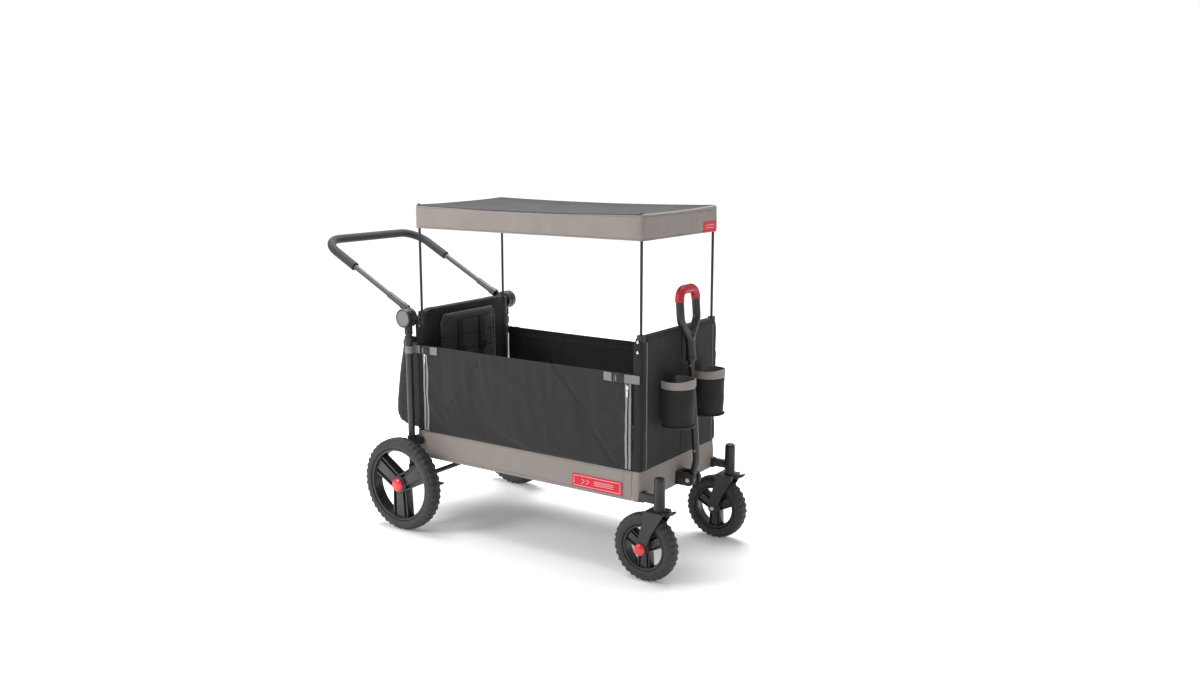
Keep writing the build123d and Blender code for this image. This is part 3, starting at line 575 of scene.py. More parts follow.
def cloth_material(name, colour, threads=600.0, depth=0.4, mottle=0.25, matt=0.82, sheen=0.25, dust=0.0):
    material, tree, shader = new_material(name)
    woven = use_group(tree, WEAVE, {"Colour": (*colour, 1), "Threads": threads, "Depth": depth,
                                    "Mottle": mottle,
                                    "Matt": matt})
    surface = woven["Colour"]
    if dust:
        surface = use_group(tree, DUST, {"Colour": surface, "Amount": dust})["Colour"]
    tree.links.new(surface, shader.inputs["Base Color"])
    tree.links.new(woven["Roughness"], shader.inputs["Roughness"])
    tree.links.new(woven["Normal"], shader.inputs["Normal"])
    shader.inputs["Sheen Weight"].default_value = sheen
    shader.inputs["Sheen Roughness"].default_value = 0.45
    shader.inputs["Specular IOR Level"].default_value = 0.35
    return material


def hard_material(name, colour, shine=0.4, grain=900.0, depth=0.15, patches=0.15, wear=0.3, dust=0.0,
                  metal=0.0,
                  coat=0.0, lift=0.1):
    material, tree, shader = new_material(name)
    surface = use_group(tree, MOULDING, {"Colour": (*colour, 1), "Grain": grain, "Depth": depth,
                                         "Shine": shine,
                                         "Patches": patches})
    worn = use_group(tree, WEAR, {"Colour": surface["Colour"], "Amount": wear, "Lift": lift})["Colour"]
    if dust:
        worn = use_group(tree, DUST, {"Colour": worn, "Amount": dust})["Colour"]
    tree.links.new(worn, shader.inputs["Base Color"])
    tree.links.new(surface["Roughness"], shader.inputs["Roughness"])
    tree.links.new(surface["Normal"], shader.inputs["Normal"])
    shader.inputs["Metallic"].default_value = metal
    shader.inputs["Coat Weight"].default_value = coat
    shader.inputs["Coat Roughness"].default_value = 0.12
    return material


MATERIALS = {
    "charcoal_fabric": cloth_material("charcoal_fabric", (0.019, 0.017, 0.018), sheen=0.12),
    "panel_fabric": cloth_material("panel_fabric", (0.012, 0.011, 0.012), sheen=0.08),
    "lining_fabric": cloth_material("lining_fabric", (0.020, 0.021, 0.023), sheen=0.15),
    "grey_fabric": cloth_material("grey_fabric", (0.245, 0.216, 0.2), mottle=0.16, sheen=0.1),
    "canopy_fabric": cloth_material("canopy_fabric", (0.013, 0.013, 0.015), sheen=0.06),
    "pad_fabric": cloth_material("pad_fabric", (0.06, 0.055, 0.051), threads=420.0, depth=0.55, sheen=0.2),
    "webbing": cloth_material("webbing", (0.2, 0.2, 0.205), threads=330.0, depth=0.9, mottle=0.3, sheen=0.1),
    "black_webbing": cloth_material("black_webbing", (0.02, 0.02, 0.022), threads=330.0, depth=0.9,
                                    sheen=0.2),
    "zip_tape": cloth_material("zip_tape", (0.27, 0.262, 0.252), threads=500.0, depth=0.7, mottle=0.2,
                               sheen=0.1),
    "piping": cloth_material("piping", (0.035, 0.034, 0.036), threads=700.0, depth=0.5, sheen=0.2),
    "red_patch": cloth_material("red_patch", (0.62, 0.022, 0.045), threads=800.0, depth=0.35, mottle=0.12,
                                sheen=0.1),
    "white_thread": cloth_material("white_thread", (0.7, 0.68, 0.68), threads=900.0, depth=0.5, sheen=0.1),
    "dark_thread": cloth_material("dark_thread", (0.045, 0.043, 0.045), threads=900.0, depth=0.5, sheen=0.1),
    "frame_metal": hard_material("frame_metal", (0.010, 0.010, 0.011), 0.4, 500.0, 0.02, 0.1, 0.02,
                                 coat=0.12),
    "rod_metal": hard_material("rod_metal", (0.008, 0.008, 0.009), 0.45, 600.0, 0.02, 0.1, 0.02),
    "steel": hard_material("steel", (0.55, 0.55, 0.56), 0.28, 700.0, 0.08, 0.18, 0.1, metal=1.0),
    "black_plastic": hard_material("black_plastic", (0.013, 0.013, 0.014), 0.42, 1100.0, 0.22, 0.18, 0.12,
                                   0.1),
    "wheel_plastic": hard_material("wheel_plastic", (0.012, 0.012, 0.013), 0.34, 900.0, 0.12, 0.18, 0.15,
                                   0.15),
    "grey_plastic": hard_material("grey_plastic", (0.15, 0.155, 0.163), 0.45, 1100.0, 0.25, 0.15, 0.3),
    "cap_plastic": hard_material("cap_plastic", (0.66, 0.012, 0.028), 0.22, 500.0, 0.05, 0.08, 0.1, coat=0.4),
    "red_plastic": hard_material("red_plastic", (0.36, 0.008, 0.018), 0.42, 900.0, 0.25, 0.12, 0.15),
    "tyre_rubber": hard_material("tyre_rubber", (0.014, 0.014, 0.015), 0.6, 700.0, 0.35, 0.2, 0.2, 0.22,
                                 lift=0.04),
    "foam": hard_material("foam", (0.020, 0.020, 0.021), 0.78, 420.0, 0.6, 0.15, 0.2, lift=0.04),
}


def finished(obj, material, body, *nodes):
    """Gives a piece its material, its body and the CAD nodes that it stands for."""
    obj.data.materials.clear()
    obj.data.materials.append(MATERIALS[material])
    return mounted(obj, material, body, *nodes)


def mounted(obj, material, body, *nodes):
    """The same for a piece that already has its materials."""
    if nodes:
        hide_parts(*nodes)
    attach(obj, body)
    return obj


def folding(obj, rear, front):
    """Gives a soft piece a mesh of its own. Both ends in millimetres; the front end is not used."""
    at(rear, 0, 0)
    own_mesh(obj)
    return obj


for entry in frame["record"]["subparts"]:
    node = frame["nodes"][entry["node"]]
    node.data.materials.clear()
    node.data.materials.append(MATERIALS[entry["material_slot"]])
    activate(node)
    bpy.ops.object.shade_smooth_by_angle(angle=math.radians(30))
deselect()

# ---------------------------------------------------------------- Wheels
REAR_HUB_Z = (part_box("rear_cap_left")[0].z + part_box("rear_cap_left")[1].z) / 2 / MM
FRONT_AXLE_X, FRONT_AXLE_Z = 885.0, 101.6
CASTER_X, CASTER_Y = 928.0, 215.0
REAR_WHEEL_Y = 294.5
# Half of a tyre's section, as shares of its height and of its half width
TYRE_SECTION = [(0.0, 0.8), (0.05, 0.92), (0.16, 0.985), (0.4, 1.0), (0.585, 0.945), (0.62, 0.885),
                (0.8, 0.83),
                (0.94, 0.67), (0.985, 0.42), (1.0, 0.12)]


def wheel_tyre(name, x, y, z, radius, seat, width, blocks):
    """A tyre with a stepped side wall and blocks cut into both shoulders of its tread."""
    half, height = width / 2, radius - seat
    section = [(seat + a * height, b * half) for a, b in TYRE_SECTION]
    section += [(r, -b) for r, b in reversed(section)]
    points = [at(x, y + b, z + r) for r, b in section]
    tyre = turned(name, points, at(x, y, z), steps=blocks * 4)
    centre = at(x, y, z)
    for vertex in tyre.data.vertices:
        out = vertex.co - centre
        side = abs(out.y) / MM
        reach = math.hypot(out.x, out.z) / MM
        step = round(math.atan2(out.x, out.z) / math.tau * blocks * 4) % 4
        if reach > seat + 0.7 * height and side > 0.3 * half and step in (2, 3):
            vertex.co -= Vector((out.x, 0, out.z)).normalized() * height * 0.085 * MM
            vertex.co.y -= math.copysign(width * 0.02 * MM, out.y)
    return smoothed(tyre, 28)


def wheel_spoke(x, y, z, hub, inner, half, width, rib):
    """One broad spoke that points down, with two long pockets in each face beside a raised rib."""
    spoke = block("spoke", at(x - width / 2, y - half, z - inner - 1.5),
                  at(x + width / 2, y + half, z - hub * 0.4))
    for side in (-1, 1):
        bpy.ops.object.mode_set(mode="EDIT")
        bpy.ops.mesh.select_all(action="SELECT")
        bpy.ops.mesh.bisect(plane_co=at(x + side * rib / 2, y, z), plane_no=(1, 0, 0))
        leave_edit()
    centre = at(x, y, z)
    pick(spoke, lambda c, n: abs(n.y) > 0.9 and abs(c.x - centre.x) > rib / 2 * MM)
    bpy.ops.mesh.inset(thickness=width * 0.085 * MM, use_individual=True)
    bpy.ops.mesh.extrude_region_shrink_fatten(TRANSFORM_OT_shrink_fatten={"value": -half * 0.6 * MM})
    leave_edit()
    for vertex in spoke.data.vertices:
        drop = (centre.z - vertex.co.z) / (inner * MM)
        vertex.co.x = centre.x + (vertex.co.x - centre.x) * (0.9 + 0.2 * drop * drop)
        vertex.co.y = centre.y + (vertex.co.y - centre.y) * (1.08 - 0.16 * drop)
    return bevelled(spoke, width * 0.022, 2)


def wheel_rim(name, x, y, z, outer, inner, width, hub, hub_half, spoke_width, bore, notches=0, inboard=0):
    """A moulded rim: a lipped ring, a hub and three broad spokes."""
    w = width / 2
    half_section = [(outer - 0.2, 0), (outer - 0.2, w - 2), (outer - 2, w), (inner + 4, w - 0.4),
                    (inner + 1, w - 1.6),
                    (inner, w - 4), (inner + 1.2, w * 0.3)]
    section = half_section + [(r, -b) for r, b in reversed(half_section[1:])]
    ring = turned("ring", [at(x, y + b, z + r) for r, b in section], at(x, y, z), steps=96)
    spoke = wheel_spoke(x, y, z, hub, inner, width * 0.36, spoke_width, spoke_width * 0.34)
    centre = at(x, y, z)
    pieces = [ring, spoke]
    for number in (1, 2):
        spin = Matrix.Rotation(number * math.tau / 3, 4, "Y")
        turn = Matrix.Translation(centre) @ spin @ Matrix.Translation(-centre)
        pieces.append(copied(spoke, f"spoke_{number}", turn))
    hub_line = [(bore, hub_half), (hub * 0.55, hub_half), (hub * 0.6, hub_half - 1),
                (hub - 2.5, hub_half - 1),
                (hub, hub_half - 3.5)]
    hub_section = hub_line + [(r, -b) for r, b in reversed(hub_line)]
    boss = turned("boss", [at(x, y + b, z + r) for r, b in hub_section], centre, steps=64)
    if notches:
        face = y - inboard * hub_half
        cutters = []
        for i in range(notches):
            angle = i * math.tau / notches
            spot = (x + 23 * math.cos(angle), z + 23 * math.sin(angle))
            cutters.append(bar(f"notch_{i}", at(spot[0], face - 2 * inboard, spot[1]),
                               at(spot[0], face + 7 * inboard, spot[1]), 3.3 * MM, 12))
        cutter = joined("notches", cutters)
        modified(boss, "BOOLEAN", object=cutter, operation="DIFFERENCE", solver="EXACT")
        bpy.data.objects.remove(cutter)
    return smoothed(joined(name, pieces + [boss]), 35)


def domed_cap(name, x, y, z, radius, height, s):
    """A domed cap with a rolled edge that faces outwards."""
    line = [(0.01, 0.0), (radius, 0.0), (radius, height * 0.3), (radius * 0.96, height * 0.42)]
    line += [(radius * 0.92 * math.cos(a), height * (0.45 + 0.55 * math.sin(a))) for a in
             [math.radians(15 * i) for i in range(6)]] + [(0.01, height)]
    cap = turned(name, [at(x, y + s * b, z + r) for r, b in line], at(x, y, z), steps=48)
    return smoothed(cap, 30)


rear_tyre = wheel_tyre("rear_tyre_tread", 0, -REAR_WHEEL_Y, REAR_HUB_Z, 152.4, 120, 52, 44)
rear_rim = wheel_rim("rear_rim_moulding", 0, -REAR_WHEEL_Y, REAR_HUB_Z, 120, 111.5, 42, 30, 22, 62, 7, 12, -1)
front_tyre = wheel_tyre("front_tyre_tread", FRONT_AXLE_X, -CASTER_Y, FRONT_AXLE_Z, 101.6, 69, 46, 32)
front_rim = wheel_rim("front_rim_moulding", FRONT_AXLE_X, -CASTER_Y, FRONT_AXLE_Z, 69, 61, 38, 19, 22, 38, 5)
for side, s in SIDES:
    for master, kind, slot in ((rear_tyre, "rear_tyre", "tyre_rubber"),
                               (rear_rim, "rear_rim", "wheel_plastic"),
                               (front_tyre, "front_tyre", "tyre_rubber"),
                               (front_rim, "front_rim", "wheel_plastic")):
        label = f"{kind}_{side}_finished"
        piece = mirrored(master, label) if s > 0 else copied(master, label)
        finished(piece, slot, f"{kind.split('_')[0]}_wheel_{side}", f"{kind}_{side}")
    cap = domed_cap(f"rear_wheel_cap_{side}", 0, s * (REAR_WHEEL_Y + 22), REAR_HUB_Z, 22, 11, s)
    finished(cap, "cap_plastic", f"rear_wheel_{side}", f"rear_cap_{side}")
for master in (rear_tyre, rear_rim, front_tyre, front_rim):
    bpy.data.objects.remove(master)

# ---------------------------------------------------------------- Casters
CROWN_LOW, CROWN_TOP = 206.5, 216.5
FORK_INNER, FORK_DEPTH = 26.0, 7.0


def fork_moulding(s):
    """A fork with a hooded crown and two legs that sweep down and back to the axle."""
    y = s * CASTER_Y
    foot = [(FRONT_AXLE_X + 15 * math.cos(a), FRONT_AXLE_Z + 15 * math.sin(a))
            for a in [math.radians(-20 - 23 * i) for i in range(9)]]
    outline = [(949, 214), (951, 203), (938, 180), (920, 150)] + foot + [(880, 150), (893, 190), (892, 210),
                                                                         (897, 216)]
    parts = [block("crown", at(893, y - 33, CROWN_LOW), at(949, y + 33, CROWN_TOP))]
    for side in (-1, 1):
        inner = y + side * FORK_INNER
        plate = slab("leg", [at(x, inner, z) for x, z in outline], Vector((0, side * FORK_DEPTH * MM, 0)))
        parts.append(plate)
        parts.append(bar("boss", at(FRONT_AXLE_X, inner, FRONT_AXLE_Z),
                         at(FRONT_AXLE_X, inner + side * 8.2, FRONT_AXLE_Z), 12 * MM))
        parts.append(block("hood", at(896, y + side * 22, 198), at(947, y + side * 31, 210)))
        parts.append(block("lever_lug", at(940, y + side * 8.5, 206), at(962, y + side * 12.5, 215.5)))
    parts.append(bar("collar", at(CASTER_X, y, 214), at(CASTER_X, y, 216.8), 14 * MM))
    fork = joined(f"fork_{'left' if s > 0 else 'right'}_moulding", parts)
    moulded(fork, 1.7, 5)
    stem = bar("stem", at(CASTER_X, y, 212), at(CASTER_X, y, 300), 8 * MM)
    pin = bar("lever_pin", at(958, y - 13, 211), at(958, y + 13, 211), 2 * MM, 16)
    return joined(fork.name, [fork, stem, pin])


def swivel_housing(s):
    """The upright housing of a caster with a rounded top, a lower flange and its arm from the frame's corner."""
    y = s * CASTER_Y
    line = [(8.1, 217), (16.5, 217), (17.4, 218), (17.4, 221), (16.5, 222.5), (16.2, 300), (15.6, 308),
            (13.5, 312.5),
            (9.5, 314), (0.01, 314), (0.01, 304), (8.1, 304)]
    tower = turned("tower", [at(CASTER_X + r, y, z) for r, z in line], at(CASTER_X, y, 0), (0, 0, 1), 56)
    edge = s * (HALF_WIDTH - 3.5)
    foot = bevelled(block("foot", at(844, s * 198, 231), at(878, edge, 262)), 2.2, 2)
    web = bevelled(block("web", at(868, y - s * 9, 234), at(920, y + s * 6, 259)), 2.2, 2)
    brace = slab("brace", [at(870, y - s * 9, 238), at(914, y - s * 9, 238), at(870, y - s * 17, 238)],
                 Vector((0, 0, 16 * MM)))
    return smoothed(joined(f"swivel_housing_{'left' if s > 0 else 'right'}", [tower, foot, web, brace]), 40)


def axle_bolt(s):
    y = s * CASTER_Y
    line = [(0.01, -37), (5.5, -37), (7, -35.5), (7, -33.2), (4, -33), (4, 33), (8, 33.2), (8, 36), (7, 37),
            (0.01, 37)]
    points = [at(FRONT_AXLE_X, y + s * b, FRONT_AXLE_Z + r) for r, b in line]
    return smoothed(turned(f"front_axle_bolt_{'left' if s > 0 else 'right'}", points,
                           at(FRONT_AXLE_X, y, FRONT_AXLE_Z), steps=32), 30)


def swivel_lever(s):
    """The swivel lock's fin, hollowed where a toe lifts it."""
    y = s * CASTER_Y
    outline = [(953.5, 209), (956, 206.5), (961, 207), (975, 212.5), (981, 219), (979.5, 222.5), (974, 222),
               (961, 216), (955, 215)]
    fin = slab(f"swivel_lever_{'left' if s > 0 else 'right'}", [at(x, y - 8, z) for x, z in outline],
               Vector((0, 16 * MM, 0)))
    return smoothed(bevelled(fin, 1.3, 2), 40)


for side, s in SIDES:
    finished(fork_moulding(s), "black_plastic", f"caster_{side}", f"fork_{side}")
    finished(axle_bolt(s), "steel", f"caster_{side}", f"front_axle_{side}")
    cap = domed_cap(f"front_wheel_cap_{side}", FRONT_AXLE_X, s * (CASTER_Y + 34), FRONT_AXLE_Z, 17.5, 11, s)
    finished(cap, "cap_plastic", f"caster_{side}")
    finished(swivel_lever(s), "black_plastic", f"lock_lever_{side}", f"lock_lever_{side}")
housings = joined("swivel_housings", [swivel_housing(s) for side, s in SIDES])
finished(housings, "black_plastic", "front_frame", "caster_mounts")

# ---------------------------------------------------------------- Pull handle
shaft_slide = next(j for j in frame["joints"] if j["name"] == "pull_handle_slide")
SHAFT = Vector(shaft_slide["axis"]).normalized()
SHAFT_FOOT = (927.0, 0.0, 312.0)
SHAFT_LENGTH = 310.9
GRIP_BAR, GRIP_SHOULDER, GRIP_BOTTOM, GRIP_HALF = 516.0, 426.0, 365.0, 47.0


def on_shaft(distance, y=0.0, forward=0.0):
    """A point along the pull handle's shaft, to the side by y and forward of it, in millimetres."""
    across = Vector((SHAFT.z, 0, -SHAFT.x))
    return at(*SHAFT_FOOT) + (SHAFT * distance + Vector((0, y, 0)) + across * forward) * MM


def grip_moulding():
    """The D-shaped grip with its neck, as one moulding."""
    corners = [(GRIP_BOTTOM, 0), (GRIP_SHOULDER, GRIP_HALF), (GRIP_BAR, GRIP_HALF), (GRIP_BAR, -GRIP_HALF),
               (GRIP_SHOULDER, -GRIP_HALF), (GRIP_BOTTOM, 0)]
    loop = tube("loop", rounded([on_shaft(*c) for c in corners], 28 * MM, 10), 12.4 * MM, sides=6)
    neck = bar("neck", on_shaft(SHAFT_LENGTH - 8), on_shaft(GRIP_BOTTOM + 8), 14.3 * MM)
    collar = bar("collar", on_shaft(SHAFT_LENGTH - 8), on_shaft(SHAFT_LENGTH + 4), 15.6 * MM)
    deselect()
    bpy.ops.mesh.primitive_uv_sphere_add(segments=32, ring_count=20, radius=17.5 * MM,
                                         location=on_shaft(GRIP_BOTTOM + 10))
    crotch = new_piece("crotch")
    grip = moulded(joined("pull_grip_moulding", [loop, neck, collar, crotch]), 1.7, 10)
    return grip


def grip_skin():
    """The soft red cover over the grip's top, down over both corners."""
    low = GRIP_BAR - 34
    corners = [(low, GRIP_HALF), (GRIP_BAR, GRIP_HALF), (GRIP_BAR, -GRIP_HALF), (low, -GRIP_HALF)]
    skin = tube("grip_cover_skin", rounded([on_shaft(*c) for c in corners], 28 * MM, 10), 13.7 * MM, sides=8)
    return smoothed(bevelled(skin, 1.2, 2, 50), 40)


finished(grip_moulding(), "black_plastic", "pull_slider", "pull_grip")
finished(grip_skin(), "red_plastic", "pull_slider", "grip_cover")
rivets = [bar(f"rivet_{i}", on_shaft(d, 12.5, 4), on_shaft(d, 15.6, 5), 3.2 * MM, 20)
          for i, d in enumerate((SHAFT_LENGTH + 12, SHAFT_LENGTH + 34))]
rivets.append(bar("snap_button", on_shaft(SHAFT_LENGTH - 22, -7), on_shaft(SHAFT_LENGTH - 22, -10.4),
                  3.4 * MM, 20))
finished(smoothed(bevelled(joined("grip_rivets", rivets), 0.8, 3), 40), "steel", "pull_slider")
latch = bar("shaft_button", on_shaft(32, -9), on_shaft(32, -12.4), 3.4 * MM, 20)
finished(smoothed(bevelled(latch, 0.8, 3), 40), "steel", "pull_handle")

# ---------------------------------------------------------------- Push handle
HUB_Z, LEG_Y = 694.0, 246.0
ARM_ANGLE, ARM_REACH, ARM_OFFSET, ARM_Y = math.radians(27.7), 467.6, 9.0, 223.0
FOAM_START, HANDLE_BEND = 296.0, 75.0


def on_arm(distance, y):
    """A point along an arm of the push handle, in millimetres from its hub."""
    x = -math.cos(ARM_ANGLE) * distance + math.sin(ARM_ANGLE) * ARM_OFFSET
    return at(x, y, HUB_Z + math.sin(ARM_ANGLE) * distance + math.cos(ARM_ANGLE) * ARM_OFFSET)


def hub_drum(s):
    """A hub's fixed drum: a rounded case with a groove, a recess for the button and a collar on the leg."""
    line = [(5, 233), (28, 233), (30.5, 235.5), (30.5, 248), (29, 249.5), (29, 252), (30.5, 253.5),
            (30.5, 269.5),
            (29.5, 271.5), (28, 272), (27, 271), (26.8, 269), (26.8, 257), (5, 257)]
    drum = turned("drum", [at(0, s * y, HUB_Z + r) for r, y in line], at(0, 0, HUB_Z), steps=72)
    sleeve_line = [(11.1, 641), (12.6, 641), (13.4, 642), (13.4, 646), (12.8, 647), (12.8, 668), (11.1, 668)]
    sleeve = turned("sleeve", [at(r, s * LEG_Y, z) for r, z in sleeve_line], at(0, s * LEG_Y, 0), (0, 0, 1),
                    40)
    return joined("hub_drum", [drum, sleeve])


def foam_grip():
    ends = [(FOAM_START, -ARM_Y), (ARM_REACH, -ARM_Y), (ARM_REACH, ARM_Y), (FOAM_START, ARM_Y)]
    foam = tube("handle_foam_grip", rounded([on_arm(*e) for e in ends], HANDLE_BEND * MM, 14), 14.4 * MM,
                sides=8)
    return smoothed(bevelled(foam, 2.4, 3, 60), 50)


drums = smoothed(joined("hub_drums", [hub_drum(s) for side, s in SIDES]), 35)
finished(drums, "black_plastic", "rear_frame", "hub_housings")
finished(foam_grip(), "foam", "push_handle", "handle_foam")

# ---------------------------------------------------------------- Soft goods
SEAM_SINGLE = ((271, 566), (94, 336))
SEAMS_DOUBLE = (((556, 602), (766, 341)), ((568, 602), (778, 341)))
HEM_LINE = 577.0
ZIPS = ((48.0, 323.0, 584.0), (826.0, 324.0, 575.0))


def eased(value, low, high):
    """0 below low, 1 above high and a soft step between."""
    t = max(0.0, min(1.0, (value - low) / (high - low)))
    return t * t * (3 - 2 * t)


def stitched(name, routes, wall=None, stitch=4.4, gap=2.2, radius=0.45, lift=0.0):
    """Rows of short stitches along routes, sunk at both ends, as one mesh."""
    curve = bpy.data.curves.new(name, "CURVE")
    curve.dimensions = "3D"
    curve.bevel_depth, curve.bevel_resolution, curve.use_fill_caps = radius * MM, 1, True
    for route in routes:
        for start, end in zip(route, route[1:]):
            along = end - start
            for i in range(int(along.length / ((stitch + gap) * MM))):
                reach = i * (stitch + gap) * MM
                spots = [start + along.normalized() * (reach + f * stitch * MM) for f in (0.0, 0.5, 1.0)]
                if wall:
                    found = [wall.closest_point_on_mesh(spot) for spot in spots]
                    spots = [p + n * (h + lift) * MM
                             for (hit, p, n, face), h in zip(found, (-0.1, 0.35, -0.1))]
                spline = curve.splines.new("POLY")
                spline.points.add(2)
                for point, spot in zip(spline.points, spots):
                    point.co = (*spot, 1)
    obj = bpy.data.objects.new(name, curve)
    scene.collection.objects.link(obj)
    activate(obj)
    bpy.ops.object.convert(target="MESH")
    return smoothed(bpy.context.object, 60)


def strip(name, wall, corners, thickness=1.0, offset=0.3, columns=40, rows=3):
    """A strip of cloth laid on a surface between four corners: low rear, low front, top rear, top front."""
    a, b, c, d = corners

    def place(u, v):
        return a.lerp(b, u).lerp(c.lerp(d, u), v)
    obj = cloth_grid(name, rows, columns, place)
    laid_on(obj, wall, offset)
    facing(obj, (a + b + c + d) / 4 - at(430, 0, (local(a)[2] + local(c)[2]) / 2))
    return smoothed(thickened(obj, thickness, 1.0), 50)


def side_wall(seed):
    """One side wall: cloth held along its hem, its base and both ends, slack enough to crease."""
    def place(u, v):
        return at(WALL_REAR + 0.8 + u * (WALL_FRONT - WALL_REAR - 1.6), -HALF_WIDTH + 1.6,
                  WALL_LOW - 1 + v * (WALL_TOP - WALL_LOW + 0.4))
    wall = cloth_grid("side_wall", 132, 44, place)
    facing(wall, (0, -1, 0))

    def creases(x, y, z, normal):
        held = min((x - WALL_REAR) / 60, (WALL_FRONT - x) / 60, (z - WALL_LOW) / 30, (HEM_LINE - z) / 24, 1)
        held = max(0.0, held)
        along, across = x * 0.89 - z * 0.45, x * 0.45 + z * 0.89
        fold = ripple(along, 0, across * 4.6, 330, seed) * 9.0
        fold += ripple(along, 0, across * 3, 150, seed + 7) * 3.6
        sag = -2.2 * math.sin(math.pi * (x - WALL_REAR) / (WALL_FRONT - WALL_REAR))
        return (0, -(max(fold, -1.4) + 0.8) * held, sag * eased(z, 540, 605))
    shifted(wall, creases)

    def held(point):
        x, y, z = local(point)
        return z > WALL_TOP - 6 or z < WALL_LOW + 4 or x < WALL_REAR + 6 or x > WALL_FRONT - 6
    relaxed(wall, 22, held, growth=0.0025, gravity=0.3, cap=3.5, bending=3)
    subdivided(wall)

    def seams(x, y, z, normal):
        away = 1.1 * eased(z, HEM_LINE - 1, HEM_LINE + 2) - 1.0 * ridge(z - HEM_LINE + 1, 2.4)
        for (ax, az), (bx, bz) in (SEAM_SINGLE,) + SEAMS_DOUBLE:
            gap = line_distance(x, z, ax, az, bx, bz)
            pucker = 0.9 * math.sin((x + z) / 7.5) * ridge(gap - 6, 6)
            away += pucker - 1.7 * ridge(gap, 2.6)
        for zip_x, low, top in ZIPS:
            if low < z < top + 6:
                away += 0.9 * ridge(x - zip_x, 14)
        return (0, -away, 0)
    shifted(wall, seams)
    return wall


def zip_pieces(wall, tag):
    """Two zips with their tapes, coils, sliders and pulls, on one wall."""
    tapes, coils, sliders = [], [], []
    for number, (x, low, top) in enumerate(ZIPS):
        for side in (-1, 1):
            a, b = x + side * 2.6, x + side * 9.5
            a, b = min(a, b), max(a, b)
            corners = [at(p, -HALF_WIDTH, z) for z in (low, top) for p in (a, b)]
            tapes.append(strip(f"tape_{number}_{side}", wall, corners, 0.8, 0.25))
        route = [at(x, -HALF_WIDTH, low + i * 6) for i in range(int((top - low) / 6))]
        route = [wall.closest_point_on_mesh(p)[1] + Vector((0, -0.9 * MM, 0)) for p in route]
        coils.append(stitched(f"coil_{number}", [route], None, 1.5, 0.9, 1.9))
        z = top - 4
        spot = local(route[-1])
        body = block("slider", at(x - 4, spot[1] - 3.4, z - 13), at(x + 4, spot[1] + 0.4, z))
        pull = block("pull", at(x - 2.4, spot[1] - 4.2, z - 34), at(x + 2.4, spot[1] - 2.8, z - 8))
        sliders.append(bevelled(joined("slider", [body, pull]), 0.9, 2))
    tape = joined(f"zip_tapes_{tag}", tapes)
    coil = joined(f"zip_coils_{tag}", coils)
    slider = smoothed(joined(f"zip_sliders_{tag}", sliders), 40)
    return tape, coil, slider


def with_both_sides(pieces):
    """Each near-side piece with a mirrored copy for the far side, as (piece, side name)."""
    made = []
    for obj, kind in pieces:
        other = mirrored(obj, f"{kind}_left")
        obj.name = obj.data.name = f"{kind}_right"
        made += [(obj, "right"), (other, "left")]
    return made


wall = side_wall(3.1)
tape, coil, slider = zip_pieces(wall, "right")
y = -HALF_WIDTH
rows = [[at(WALL_REAR + 3, y, HEM_LINE - 1), at(WALL_FRONT - 3, y, HEM_LINE - 1)],
        [at(WALL_REAR + 3, y, HEM_LINE - 5), at(WALL_FRONT - 3, y, HEM_LINE - 5)],
        [at(WALL_REAR + 3, y, WALL_LOW + 6), at(WALL_FRONT - 3, y, WALL_LOW + 6)]]
for (ax, az), (bx, bz) in (SEAM_SINGLE,) + SEAMS_DOUBLE:
    rows.append([at(ax + 4, y, az), at(bx + 4, y, bz)])
threads = stitched("wall_stitches", rows, wall)
thickened(wall, 2.2)
smoothed(wall, 60)
pieces = with_both_sides([(wall, "side_wall_cloth"), (tape, "zip_tapes"), (coil, "zip_coils"),
                          (slider, "zip_sliders"),
                          (threads, "wall_stitches")])
look = {"side_wall_cloth": "charcoal_fabric", "zip_tapes": "zip_tape", "zip_coils": "black_webbing",
        "zip_sliders": "steel", "wall_stitches": "dark_thread"}
placed_walls = {}
for obj, side in pieces:
    kind = obj.name.rsplit("_", 1)[0]
    finished(obj, look[kind], "rear_frame", *(["side_walls"] if kind == "side_wall_cloth" else []))
    placed_walls[obj.name] = obj
for side, s in SIDES:
    group = [placed_walls[f"{kind}_{side}"] for kind in look]
    for obj in group:
        folding(obj, WALL_REAR, WALL_FRONT)


